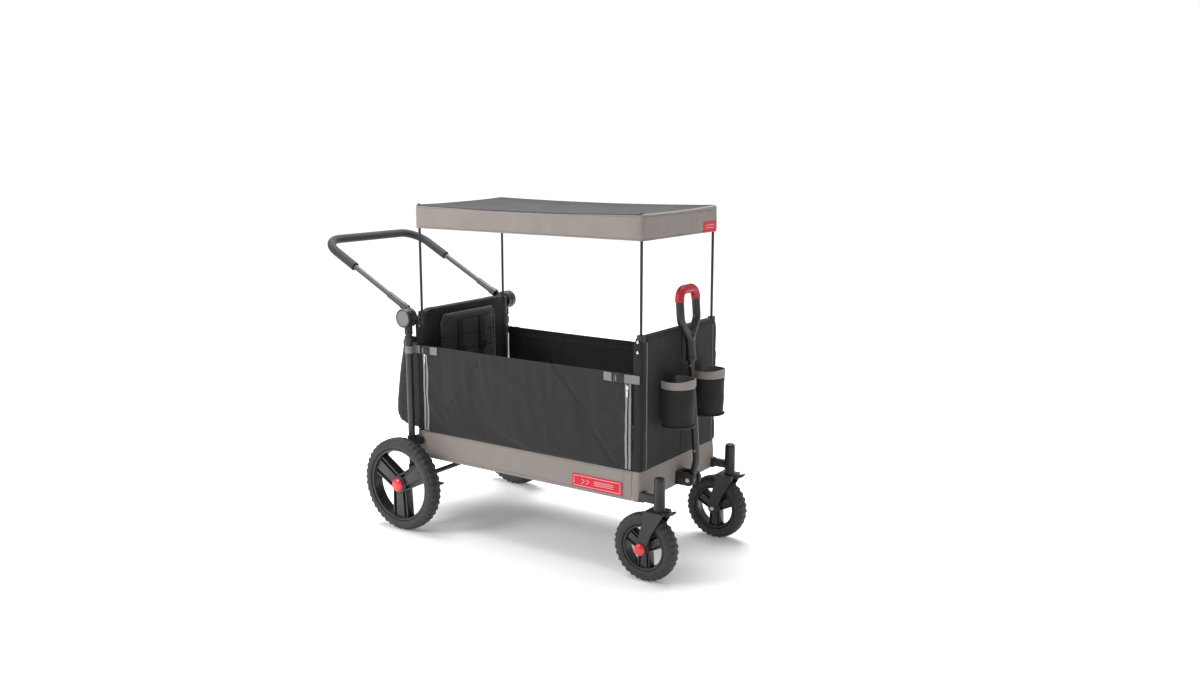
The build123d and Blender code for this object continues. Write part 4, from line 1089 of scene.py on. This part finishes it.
def band_cloth(name, route, bend, columns):
    """The base's cloth along a route seen from above, padded a little and puckered at its seams."""
    route = rounded([at(*p) for p in route], bend * MM, 5) if len(route) > 2 else [at(*p) for p in route]
    lengths = [0.0]
    for a, b in zip(route, route[1:]):
        lengths.append(lengths[-1] + (b - a).length)

    def place(u, v):
        reach = u * lengths[-1]
        i = max(k for k in range(len(route) - 1) if lengths[k] <= reach + 1e-9)
        share = (reach - lengths[i]) / max(lengths[i + 1] - lengths[i], 1e-9)
        return route[i].lerp(route[i + 1], min(share, 1.0)) + Vector((0, 0,
                                                                      (v * (BAND_HIGH - BAND_LOW)) * MM))
    cloth = cloth_grid(name, columns, 16, place)
    facing(cloth, (0, 0, 1))
    middle = at(BASKET_FRONT / 2, 0, 0)
    outside = sum(((f.center - middle).dot(f.normal) * f.area for f in cloth.data.polygons))
    if outside < 0:
        cloth.data.flip_normals()
    subdivided(cloth)

    def soft(x, y, z, normal):
        v = (z - BAND_LOW) / (BAND_HIGH - BAND_LOW)
        belly = 1.6 * math.sin(math.pi * v) - 0.8
        pucker = 0.5 * ripple(x, y, 0, 14, 4) * (ridge(v - 1, 0.2) + ridge(v, 0.2))
        fold = 1.5 * ripple(x * 0.8 + z * 0.9, y, z * 0.2, 60, 2) * math.sin(math.pi * v)
        crease = -1.4 * ridge(x - 812 - (z - 275) * 0.12, 3) + 1.2 * ridge(x - 803, 5)
        hem = -0.9 * ridge(z - BAND_LOW - 9, 1.8) - 0.9 * ridge(z - BAND_HIGH + 5, 1.6)
        return normal * (belly + pucker + fold + crease + hem)
    shifted(cloth, soft)
    return cloth


edge = HALF_WIDTH - 1.5
bands = {"right": band_cloth("base_band_right", [(14, -edge, BAND_LOW), (838.8, -edge, BAND_LOW)], 0, 150)}
patch_base = bands["right"]
patch = strip("sewn_patch", patch_base, [at(631, y, 240), at(808, y, 240), at(631, y, 281), at(808, y,
                                                                                               281)], 1.6, 0.4,
              12, 50)
bevelled(patch, 0.6, 2, 50)
border = [(637, 245), (802, 245), (802, 276), (637, 276), (637, 245)]
mark = [[(664, 252), (676, 260.5), (664, 269)], [(680, 252), (692, 260.5), (680, 269)]]
mark += [[(710, z), (782, z)] for z in (255, 260.5, 266)]
patch_threads = stitched("patch_threads", [[at(x, y - 8, z) for x, z in route]
                                           for route in [border] + mark], patch,
                         3.2, 0.9, 0.8, 0.3)
rows = [[at(20, y, z), at(836, y, z)] for z in (BAND_LOW + 9, BAND_HIGH - 5)]
band_threads = stitched("band_threads_right", rows, bands["right"])
thickened(bands["right"], 1.8)
bands["left"] = mirrored(bands["right"], "base_band_left")
band_threads_left = mirrored(band_threads, "band_threads_left")
rear_band = band_cloth("base_band_rear", [(14, edge, BAND_LOW), (1.5, edge, BAND_LOW), (1.5, -edge, BAND_LOW),
                                          (14, -edge, BAND_LOW)], 10, 110)
thickened(rear_band, 1.8)
front_band = band_cloth("base_band_nose", [(840.4, -edge, BAND_LOW), (868.4, -edge, BAND_LOW),
                                           (868.4, edge, BAND_LOW), (840.4, edge, BAND_LOW)], 13, 120)
thickened(front_band, 1.8)
for obj in (*bands.values(), rear_band, front_band):
    smoothed(obj, 60)
for side, s in SIDES:
    threads = band_threads if s < 0 else band_threads_left
    finished(bands[side], "grey_fabric", "rear_frame", "base_bands")
    finished(threads, "dark_thread", "rear_frame")
    extra = [threads]
    if s < 0:
        finished(patch, "red_patch", "rear_frame")
        finished(patch_threads, "white_thread", "rear_frame")
        extra += [patch, patch_threads]
    for obj in (bands[side], *extra):
        folding(obj, 34.6, WALL_FRONT)
finished(rear_band, "grey_fabric", "rear_frame", "base_bands")
finished(front_band, "grey_fabric", "front_frame", "base_band_front")

# ---------------------------------------------------------------- Canopy
CANOPY = [(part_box("canopy_cover")[i].x - REAR) / MM for i in (0, 1)]
CANOPY_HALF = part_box("canopy_cover")[1].y / MM
CANOPY_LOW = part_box("canopy_cover")[0].z / MM
RIM_SEAM, RIM_CORNER, HEM_RISE = 1046.0, 14.0, 9.0


def canopy_sheet():
    """One sheet over the four rods: a top that sags between them and a valance that turns down round it."""
    length, half = CANOPY[1] - CANOPY[0], CANOPY_HALF
    columns, rows, drop, corner = 96, 56, 78.0, 13.0

    def place(u, v):
        """Round the edge the sheet turns down, so its outer rows stand upright."""
        a, b = (u - 0.5) * 2, (v - 0.5) * 2
        reach = max(abs(a), abs(b))
        top_share = 0.78
        fall = max(0.0, (reach - top_share) / (1 - top_share))
        scale = top_share / reach if reach > top_share else 1.0
        px, py = a * scale / top_share * (length / 2), b * scale / top_share * half
        # Corners seen from above are rounded
        cx, cy = length / 2 - corner, half - corner
        if abs(px) > cx and abs(py) > cy:
            dx, dy = abs(px) - cx, abs(py) - cy
            far = max(dx, dy)
            norm = math.hypot(dx, dy) or 1
            px = math.copysign(cx + dx / norm * far, px)
            py = math.copysign(cy + dy / norm * far, py)
        return at(CANOPY[0] + length / 2 + px, py, 1058.5 - fall * drop)
    sheet = cloth_grid("canopy_sheet", columns, rows, place)
    facing(sheet, (0, 0, 1))
    sheet.data.materials.append(MATERIALS["canopy_fabric"])
    sheet.data.materials.append(MATERIALS["grey_fabric"])
    for face in sheet.data.polygons:
        face.material_index = 1 if local(face.center)[2] < 1057 else 0

    def sag(x, y, z, normal):
        t = (x - CANOPY[0]) / length
        w = y / half
        lip = eased(z, 1000, 1050)
        edge_line = -6.0 * math.sin(math.pi * t) * lip - 2.5 * (1 - w * w) * lip
        inside = max(0.0, min(1.0, (1 - abs(w)) * 3)) * max(0.0,
                                                            min(1.0, min(t, 1 - t) * 8)) if z > 1050 else 0.0
        crease = ripple(x, y * 0.5, 0, 75, 5) * 2.2 * inside
        far_lift = 3.0 * w * lip
        wave = 1.8 * ripple(x, y, z * 0.15, 90, 8) * (1 - lip)
        out = Vector((normal.x, normal.y, 0)) * wave
        return (out.x, out.y, edge_line - 4 * inside + crease + far_lift)
    shifted(sheet, sag)
    tips = [at(px, py, 1058) for px in (CANOPY[0] + 12, CANOPY[1] - 12) for py in (-half + 10, half - 10)]

    def held(point):
        x, y, z = local(point)
        rim = z > 1035 and (abs(y) > half - 12 or x < CANOPY[0] + 12 or x > CANOPY[1] - 12)
        return rim or z < CANOPY_LOW + 5 or any((point - tip).length < 30 * MM for tip in tips)
    relaxed(sheet, 22, held, growth=0.004, gravity=1.0, cap=5, bending=1.5)
    subdivided(sheet)

    def trim(x, y, z, normal):
        away = -0.9 * ridge(z - CANOPY_LOW - HEM_RISE, 1.8) - 1.2 * ridge(z - RIM_SEAM, 1.8)
        return normal * away
    return shifted(sheet, trim)


sheet = canopy_sheet()
rim_x, rim_y, low = (CANOPY[0] + RIM_CORNER, CANOPY[1] - RIM_CORNER), CANOPY_HALF, CANOPY_LOW
loops = []
for z in (low + HEM_RISE, RIM_SEAM):
    loops += [[at(rim_x[0], -rim_y, z), at(rim_x[1], -rim_y, z)],
              [at(CANOPY[1], -rim_y + RIM_CORNER, z), at(CANOPY[1], rim_y - RIM_CORNER, z)],
              [at(rim_x[1], rim_y, z), at(rim_x[0], rim_y, z)],
              [at(CANOPY[0], rim_y - RIM_CORNER, z), at(CANOPY[0], -rim_y + RIM_CORNER, z)]]
canopy_threads = stitched("canopy_threads", loops, sheet, 4.6, 2.4)
tag = strip("canopy_tag", sheet, [at(CANOPY[1] + 2, 128, 984), at(CANOPY[1] + 2, 204, 984),
                                  at(CANOPY[1] + 2, 128, 1012), at(CANOPY[1] + 2, 204, 1012)], 1.2, 0.4, 12,
                                  24)
bevelled(tag, 0.4, 2, 50)
tag_marks = [[at(CANOPY[1] + 9, a, z), at(CANOPY[1] + 9, b, z)] for a, b,
             z in ((140, 192, 994), (140, 192, 1002))]
tag_threads = stitched("canopy_tag_threads", tag_marks, tag, 3.2, 0.9, 0.8)
thickened(sheet, 1.6)
smoothed(sheet, 60)
mounted(sheet, "canopy_fabric", "rear_frame", "canopy_cover")
finished(canopy_threads, "dark_thread", "rear_frame")
finished(tag, "red_patch", "rear_frame")
finished(tag_threads, "white_thread", "rear_frame")
for obj in (sheet, canopy_threads, tag, tag_threads):
    folding(obj, CANOPY[0], CANOPY[1])

# ---------------------------------------------------------------- End panels
def end_panel(name, x_low, x_high, half, low, top, corner, post, seam):
    """A padded end panel: a slab with rounded top corners, fuller over its posts and along its middle seam."""
    outline = [(-half, low), (half, low), (half, top - corner), (half - corner * 0.3, top - corner * 0.3),
               (half - corner, top), (-half + corner, top), (-half + corner * 0.3, top - corner * 0.3),
               (-half, top - corner)]
    panel = slab(name, [at(x_low + 2, y, z) for y, z in outline], Vector(((x_high - x_low - 4) * MM, 0, 0)))
    bevelled(panel, 3, 2, 30)
    panel.data.remesh_voxel_size = 5.2 * MM
    activate(panel)
    bpy.ops.object.voxel_remesh()
    modified(panel, "SMOOTH", factor=0.5, iterations=4)

    def edges(point):
        x, y, z = local(point)
        return z < low + 6
    relaxed(panel, 18, edges, pressure=1.6, cap=3.0, bending=1.5)
    subdivided(panel)

    def soft(x, y, z, normal):
        if abs(normal.x) < 0.35:
            return None
        d = abs(y)
        away = 1.0 * ridge(d - (half - post / 2), post * 0.4) - 1.6 * ridge(d - (half - post), 2.2)
        away += -1.5 * ridge(z - (top - 14), 1.9)
        if seam:
            away -= 1.8 * ridge(y, 2.2)
        away += 1.2 * ripple(x, y, z, 60, 3) + 0.5 * ripple(x, y, z * 0.6, 24, 9)
        return normal * away
    shifted(panel, soft)
    return smoothed(panel, 60)


front_panel = end_panel("front_panel_padded", 840, 870, HALF_WIDTH, 319.6, 714, 26, 30, True)
rear_panel = end_panel("rear_panel_padded", 0, 34, 221, 319.6, 720, 50, 34, False)
cords = []
for side, s in SIDES:
    line = [front_panel.closest_point_on_mesh(at(874, s * (HALF_WIDTH - 30), 322 + i * 12))[1]
            for i in range(32)]
    for point in line:
        point.y = s * (HALF_WIDTH - 30) * MM
    cords.append(tube(f"post_piping_{side}", line, 1.7 * MM, sides=3))
front_piping = joined("front_post_piping", cords)
lines = [[at(872, s * (HALF_WIDTH - 35), 330), at(872, s * (HALF_WIDTH - 35), 690)] for side, s in SIDES]
lines += [[at(872, s * 5, 330), at(872, s * 5, 706)] for side,
          s in SIDES] + [[at(872, -190, 697), at(872, 190, 697)]]
front_threads = stitched("front_panel_threads", lines, front_panel)
lines = [[at(36, -176, 704), at(36, 176, 704)]] + [[at(36, s * 183, 330), at(36, s * 183, 660)] for side,
                                                   s in SIDES]
rear_threads = stitched("rear_panel_threads", lines, rear_panel)
finished(front_panel, "panel_fabric", "front_frame", "front_panel")
finished(front_piping, "webbing", "front_frame")
finished(front_threads, "dark_thread", "front_frame")
finished(rear_panel, "panel_fabric", "rear_frame", "rear_panel")
finished(rear_threads, "dark_thread", "rear_frame")

# ---------------------------------------------------------------- Seat pad and harness
def seat_cushion():
    outline = [(-134, 316), (134, 316), (138, 330), (138, 668), (122, 693), (-122, 693), (-138, 668),
               (-138, 330)]
    pad = slab("seat_cushion", [at(36.5, y, z) for y, z in outline], Vector((9 * MM, 0, 0)))
    pad.data.remesh_voxel_size = 4.4 * MM
    activate(pad)
    bpy.ops.object.voxel_remesh()
    relaxed(pad, 18, lambda p: local(p)[0] < 37.5, pressure=3.0, cap=4, bending=1.0)
    subdivided(pad)

    def quilt(x, y, z, normal):
        if normal.x < 0.3:
            return None
        rows = sum(ridge(z - (352 + 52 * i), 2.6) for i in range(7))
        pucker = 0.8 * ripple(0, y * 1.4, z, 16, 6) * sum(ridge(z - (352 + 52 * i), 9) for i in range(7))
        sides = ridge(abs(y) - 118, 2.6)
        return normal * (1.2 - 2.6 * rows - 1.6 * sides + pucker + 0.8 * ripple(0, y, z, 45, 2))
    shifted(pad, quilt)
    return smoothed(pad, 60)


def side_release(name, centre, along, across, out, length=37.0, width=27.0, depth=9.0):
    """A side-release buckle: a socket, a prong body with two sprung arms and two slots for webbing."""
    along, across, out = (v.normalized() for v in (along, across, out))
    turn = Matrix((along, across, out)).transposed().to_4x4()
    place_matrix = Matrix.Translation(centre) @ turn

    def piece(label, low, high):
        obj = block(label, Vector(low) * MM, Vector(high) * MM)
        bevelled(obj, 1.3, 2)
        return obj
    half, w, d = length / 2, width / 2, depth / 2
    parts = [piece("socket", (-half + 7, -w + 2, -d), (3, w - 2, d)),
             piece("nose", (3, -w + 5, -d + 1), (8, w - 5, d - 1)),
             piece("stem", (6, -3, -d + 2), (half - 7, 3, d - 2)),
             piece("arm_a", (1, -w + 0.3, -d + 1.4), (half - 7, -w + 4.4, d - 1.4)),
             piece("arm_b", (1, w - 4.4, -d + 1.4), (half - 7, w - 0.3, d - 1.4))]
    for a, b in ((-half, -half + 3), (-half + 5, -half + 8), (half - 8, half - 5), (half - 3, half)):
        parts.append(piece("bar", (a, -w, -d + 1.5), (b, w, d - 1.5)))
    for s in (-1, 1):
        parts.append(piece("rail", (-half, s * (w - 1.5) - 1.5, -d + 1.5),
                           (-half + 8, s * (w - 1.5) + 1.5, d - 1.5)))
        parts.append(piece("rail", (half - 8, s * (w - 1.5) - 1.5, -d + 1.5),
                           (half, s * (w - 1.5) + 1.5, d - 1.5)))
    buckle = joined(name, parts)
    buckle.data.transform(place_matrix)
    return smoothed(buckle, 40)


cushion = seat_cushion()
straps, adjusters = [], []
for side, s in SIDES:
    y = s * 54
    route = [at(49.0, y, 676), at(51.4, y, 640), at(52.4, y + s * 2, 560), at(52.0, y - s * 3, 470),
             at(51.6, y - s * 6, 430)]
    straps.append(ribbon(f"harness_strap_{side}", route, Vector((0, 24 * MM, 0)), 1.6, 30))
    pad_route = [at(52.6, y, 668), at(55.0, y, 640), at(55.6, y + s * 1.5, 575)]
    straps.append(ribbon(f"harness_doubled_{side}", pad_route, Vector((0, 24 * MM, 0)), 1.6, 20))
    middle, level = y + s * 1.5, 568
    bars = [block("bar", at(54.4, middle - 15, level + rise), at(57.6, middle + 15, level + rise + 3))
            for rise in (-12, -2, 9)]
    bars += [block("side", at(54.4, middle + reach - 1.5, level - 12),
                   at(57.6, middle + reach + 1.5, level + 12))
             for reach in (-14, 14)]
    adjusters.append(bevelled(joined("adjuster", bars), 0.9, 2))
tilt = math.radians(30)
forward = Vector((1, 0, 0))
buckles = [side_release("harness_buckle_a", at(56.5, -54, 438), Vector((0, 0, 1)), Vector((0, 1, 0)),
                        forward),
           side_release("harness_buckle_b", at(56.5, 50, 432), Vector((0, math.sin(tilt), math.cos(tilt))),
                        Vector((0, math.cos(tilt), -math.sin(tilt))), forward)]
tail = ribbon("harness_tail", [at(52.4, 44, 418), at(53.2, 30, 385), at(51.8, 22, 350)],
              Vector((0, 20 * MM, 6 * MM)), 1.6, 10)
harness = joined("harness_straps", straps)
hardware = smoothed(joined("harness_hardware", adjusters + buckles), 40)
finished(cushion, "pad_fabric", "rear_frame", "seat_pad")
finished(harness, "black_webbing", "rear_frame", "harness")
finished(tail, "webbing", "rear_frame")
finished(hardware, "black_plastic", "rear_frame")

# ---------------------------------------------------------------- Rear bag and cup pockets
def rear_pouch():
    """The bag behind the rear panel: a lofted shell, open and gathered at its top, fuller at its base."""
    def place(u, v):
        y = (u - 0.5) * 2 * 188
        depth = 108 + 42 * eased(1 - v, 0, 0.75)
        side_share = max(0.0, (abs(u - 0.5) * 2 - 0.74) / 0.26)
        depth *= math.sqrt(max(0.0, 1 - side_share ** 4))
        z = 314 + v * 286
        low_round = max(0.0, 1 - v / 0.14)
        depth *= 1 - 0.28 * low_round ** 2
        y *= 1 - 0.015 * low_round ** 2
        return at(-1.4 - depth, math.copysign(min(abs(y), 188), y), z)
    pouch = cloth_grid("rear_pouch", 84, 52, place)
    facing(pouch, (-1, 0, 0))

    def gather(x, y, z, normal):
        t = (z - 314) / 286
        pull = 4.5 * math.sin(y / 6.2 + 2 * ripple(0, y, 0, 40)) * eased(t, 0.55, 1.0)
        slump = 5 * ripple(x, y * 0.7, z, 95, 11) * eased(t, 0, 0.3) * (1 - eased(t, 0.75, 1.0))
        out = Vector((normal.x, normal.y, 0)) * (pull * 0.6 + slump)
        near_wall = eased(-x, 4, 30)
        return (out.x * near_wall, out.y * near_wall * 0.4, -4 * math.cos(math.pi * y / 376) * eased(t, 0.7,
                                                                                                     1.0))
    shifted(pouch, gather)
    relaxed(pouch, 20, lambda p: local(p)[0] > -8 or local(p)[2] > 594 or local(p)[2] < 322, growth=0.012,
            gravity=0.6,
            cap=7, bending=1.5)
    subdivided(pouch)

    def seams(x, y, z, normal):
        return normal * (-1.4 * ridge(z - 334, 2.2) - 1.2 * ridge(z - 582, 2.2) + 0.8 * eased(z, 580, 584))
    return shifted(pouch, seams)


pouch = rear_pouch()
line = [pouch.closest_point_on_mesh(at(-150 * math.cos(a * 0.96), 182 * math.sin(a), 334))[1]
        for a in [math.radians(-84 + 4 * i) for i in range(43)]]
pouch_piping = tube("pouch_piping", line, 2.0 * MM, sides=3)
routes = [[at(-120, y, 586), at(-120, y + 20, 586)] for y in range(-160, 160, 20)]
pouch_threads = stitched("pouch_threads", routes, pouch)
thickened(pouch, 2.2)
smoothed(pouch, 60)
floor_outline = [(-1.5, 185)]
for i in range(25):
    share = 1 - i / 12
    depth = 109.5 * math.sqrt(max(0.0, 1 - (max(0.0, abs(share) - 0.74) / 0.26) ** 4))
    floor_outline.append((-2.5 - depth, share * 185))
floor_outline.append((-1.5, -185))
pouch_floor = bevelled(slab("pouch_floor", [at(x, y, 313) for x, y in floor_outline],
                            Vector((0, 0, 2.4 * MM))), 0.8, 2)
finished(pouch, "panel_fabric", "rear_frame", "rear_bag")
finished(pouch_piping, "piping", "rear_frame")
finished(pouch_threads, "dark_thread", "rear_frame")
finished(pouch_floor, "panel_fabric", "rear_frame")


def cup_pocket(s):
    """A round pocket sewn to the front panel with a paler band round its rim."""
    centre_x, centre_y, radius = 911.0, s * 90.0, 52.0
    span = math.radians(252)

    def place(u, v):
        angle = (u - 0.5) * span
        z = 439.5 + v * 137
        r = radius * (0.93 + 0.07 * eased(v, 0, 0.4))
        return at(centre_x + r * math.cos(angle), centre_y + r * math.sin(angle), z)
    shell = cloth_grid("cup_shell", 72, 34, place)
    facing(shell, (1, 0, 0))

    def soft(x, y, z, normal):
        t = (z - 439.5) / 137
        edge = min(1.0, max(0.0, (x - 872) / 12))
        belly = 2.0 * ripple(x, y, z * 0.7, 34, 4 + s) * (1 - eased(t, 0.7, 0.9)) * eased(t, 0.0, 0.15)
        rim = 1.1 * eased(z, 551, 554) - 1.2 * ridge(z - 551, 1.8)
        wave = 2.5 * math.cos((y - centre_y) / 20) * eased(t, 0.9, 1)
        return Vector((normal.x, normal.y, 0)) * (belly + rim) * edge + Vector((0, 0, wave))
    shifted(subdivided(shell), soft)
    shell.data.materials.append(MATERIALS["panel_fabric"])
    shell.data.materials.append(MATERIALS["grey_fabric"])
    thickened(shell, 2.4)
    for face in shell.data.polygons:
        face.material_index = 1 if local(face.center)[2] > 552.5 else 0
    smoothed(shell, 60)
    ring = [(centre_x + (radius - 1) * math.cos(a), centre_y + (radius - 1) * math.sin(a))
            for a in [span * (i / 36 - 0.5) for i in range(37)]]
    base = slab("cup_base", [at(x, y, 439) for x, y in ring], Vector((0, 0, 2.4 * MM)))
    rim_line = [at(centre_x + (radius + 0.5) * math.cos(a), centre_y + (radius + 0.5) * math.sin(a), 439.5)
                for a in [span * (i / 40 - 0.5) for i in range(41)]]
    piping = tube("cup_piping", rim_line, 1.7 * MM, sides=3)
    return shell, bevelled(base, 0.7, 2), piping


for side, s in SIDES:
    shell, base, piping = cup_pocket(s)
    shell.name = shell.data.name = f"cup_pocket_{side}"
    base.name, piping.name = f"cup_base_{side}", f"cup_piping_{side}"
    mounted(shell, "charcoal_fabric", "front_frame", "cup_pockets")
    finished(base, "panel_fabric", "front_frame")
    finished(piping, "piping", "front_frame")

# ---------------------------------------------------------------- Floor mats
def floor_mat(name, low_x, high_x, body, node):
    mat = block(name, at(low_x + 1, -215, 259), at(high_x - 1, 215, 266))
    mat.data.remesh_voxel_size = 6 * MM
    activate(mat)
    bpy.ops.object.voxel_remesh()
    relaxed(mat, 14, lambda p: local(p)[2] < 260.5, pressure=2.0, cap=2.5, bending=1.0)

    def quilt(x, y, z, normal):
        if normal.z < 0.3:
            return None
        rows = sum(ridge(x - (low_x + (high_x - low_x) * i / 4), 5)
                   for i in range(1, 4)) + ridge(abs(y) - 108, 5)
        return normal * (0.6 - 2.2 * rows)
    shifted(mat, quilt)
    finished(smoothed(mat, 60), "lining_fabric", body, node)


floor_mat("floor_mat_padded_rear", 62.6, 446.7, "floor_rear", "floor_mat_rear")
floor_mat("floor_mat_padded_front", 447.3, 831.4, "floor_front", "floor_mat_front")

# ---------------------------------------------------------------- Side straps
for end, (web_low, web_high, clip_x) in {"rear": (1, 102, 53.5),
                                         "front": (744, 866, 795.5)}.items():
    webs, clips, marks = [], [], []
    for side, s in SIDES:
        y, z = s * 228.2, 590
        inner = s * 226.0
        outer = y + s * 1.2
        route = [at(web_low, inner, z), at(clip_x - 22, outer, z), at(clip_x + 22, outer, z),
                 at(web_high, inner, z)]
        webs.append(ribbon(f"web_{end}_{side}", route, Vector((0, 0, 25 * MM)), 1.6, 12))
        clips.append(side_release(f"clip_{end}_{side}", at(clip_x, s * 231.2, z), Vector((1, 0, 0)),
                                  Vector((0, 0, 1)),
                                  Vector((0, s, 0)), 40, 28, 8))
        marks.append(bevelled(block("bar_mark", at(clip_x - 6, min(s * 234.8, s * 235.4), z - 7),
                                    at(clip_x - 3.4, max(s * 234.8, s * 235.4), z + 7)), 0.2, 1))
    web = joined(f"side_webbing_{end}", webs)
    clip = joined(f"side_clips_{end}", clips)
    mark = joined(f"side_clip_marks_{end}", marks)
    body = next(b for b, nodes in frame["record"]["behaviour"]["bodies"].items()
                if f"side_buckles_{end}" in nodes)
    finished(web, "webbing", body, f"side_buckles_{end}")
    finished(clip, "black_plastic", body)
    finished(mark, "grey_plastic", body)

# ---------------------------------------------------------------- Rivets and small hardware
front_rivets, rear_rivets = [], []
for side, s in SIDES:
    for z in (668, 698):
        front_rivets.append(domed_cap("rivet", 857.5, s * 224.2, z, 4.2, 2.4, s))
        rear_rivets.append(domed_cap("rivet", 23.5, s * 221.2, z - 2, 4.0, 2.2, s))
front_rivets = joined("front_socket_rivets", front_rivets)
rear_rivets = joined("rear_socket_rivets", rear_rivets)
finished(front_rivets, "steel", "front_frame")
finished(rear_rivets, "grey_plastic", "rear_frame")
for side, s in SIDES:
    line = [(0.01, 262.9), (25.6, 262.9), (26.2, 263.4), (26.2, 270.4), (25.2, 272.2), (23.6, 272.6),
            (22.6, 271.4),
            (20, 271.2), (0.01, 272.8)]
    disc = turned(f"hub_button_disc_{side}", [at(0, s * y, HUB_Z + r) for r, y in line], at(0, 0, HUB_Z),
                  steps=64)
    finished(smoothed(disc, 30), "grey_plastic", f"hub_button_{side}", f"hub_button_{side}")
    loop = ribbon(f"leg_strap_{side}", [at(math.sin(a) * 13.2, s * LEG_Y + math.cos(a) * 13.2, 590) for a in
                                        [math.radians(15 * i) for i in range(25)]], Vector((0, 0, 24 * MM)),
                                        1.6)
    finished(loop, "webbing", "rear_frame")


# ---------------------------------------------------------------- Camera, light and floor
deselect()
bpy.ops.mesh.primitive_plane_add(size=40, location=(0, 0, -0.0005))
floor = new_piece("studio_floor")
floor_material, floor_tree, floor_shader = new_material("studio_floor")
floor_tone = add_node(floor_tree, "ShaderNodeTexNoise", {"Scale": 1.5, "Detail": 2.0}).outputs[0]
floor_colour = mixed(floor_tree, floor_tone, (0.93, 0.93, 0.93, 1), (0.95, 0.95, 0.95, 1))
floor_tree.links.new(floor_colour, floor_shader.inputs["Base Color"])
floor_shader.inputs["Roughness"].default_value = 0.9
floor_shader.inputs["Specular IOR Level"].default_value = 0.1
# The floor glows by itself, which is painted light: the glow is faint near the wagon, so the shade under it stays,
# and stronger further out, so the far floor reads white.
floor_shader.inputs["Emission Color"].default_value = (1, 1, 1, 1)
floor_place = add_node(floor_tree, "ShaderNodeTexCoord").outputs["Object"]
floor_glow_distance = add_node(floor_tree, "ShaderNodeVectorMath", {0: floor_place},
                       operation="LENGTH").outputs["Value"]
floor_tree.links.new(ranged(floor_tree, floor_glow_distance, 1.0, 2.6, 0.12, 0.6),
                     floor_shader.inputs["Emission Strength"])
floor.data.materials.append(floor_material)
floor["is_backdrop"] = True

world = bpy.data.worlds.new("studio")
scene.world = world
world.use_nodes = True
backdrop = world.node_tree.nodes["Background"]
seen = add_node(world.node_tree, "ShaderNodeLightPath").outputs["Is Camera Ray"]
world.node_tree.links.new(ranged(world.node_tree, seen, 0.0, 1.0, 0.5, 1.0), backdrop.inputs[1])
backdrop.inputs[0].default_value = (1, 1, 1, 1)
scene.view_settings.view_transform = "Standard"


def softbox(name, place, target, size, power):
    deselect()
    bpy.ops.object.light_add(type="AREA", location=place)
    lamp = bpy.context.object
    lamp.name = name
    lamp.data.shape = "RECTANGLE"
    lamp.data.size, lamp.data.size_y = size
    lamp.data.energy = power
    lamp.rotation_euler = (Vector(target) - Vector(place)).to_track_quat("-Z", "Y").to_euler()


softbox("top_light", (-0.5, 0.6, 3.2), (0, 0, 0.2), (3.2, 2.4), 190)
softbox("side_light", (-1.9, -3.0, 2.3), (0, 0, 0.45), (1.6, 1.6), 80)

CAMERA_PLACE = (2.1772, -2.7727, 1.2514)
CAMERA_TURN = (79.83, 0.0, 34.14)
CAMERA_LENS = 32.8
deselect()
bpy.ops.object.camera_add(location=CAMERA_PLACE, rotation=[math.radians(a) for a in CAMERA_TURN])
camera = bpy.context.object
camera.data.lens = CAMERA_LENS
camera.data.sensor_width = 36
scene.camera = camera

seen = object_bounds()
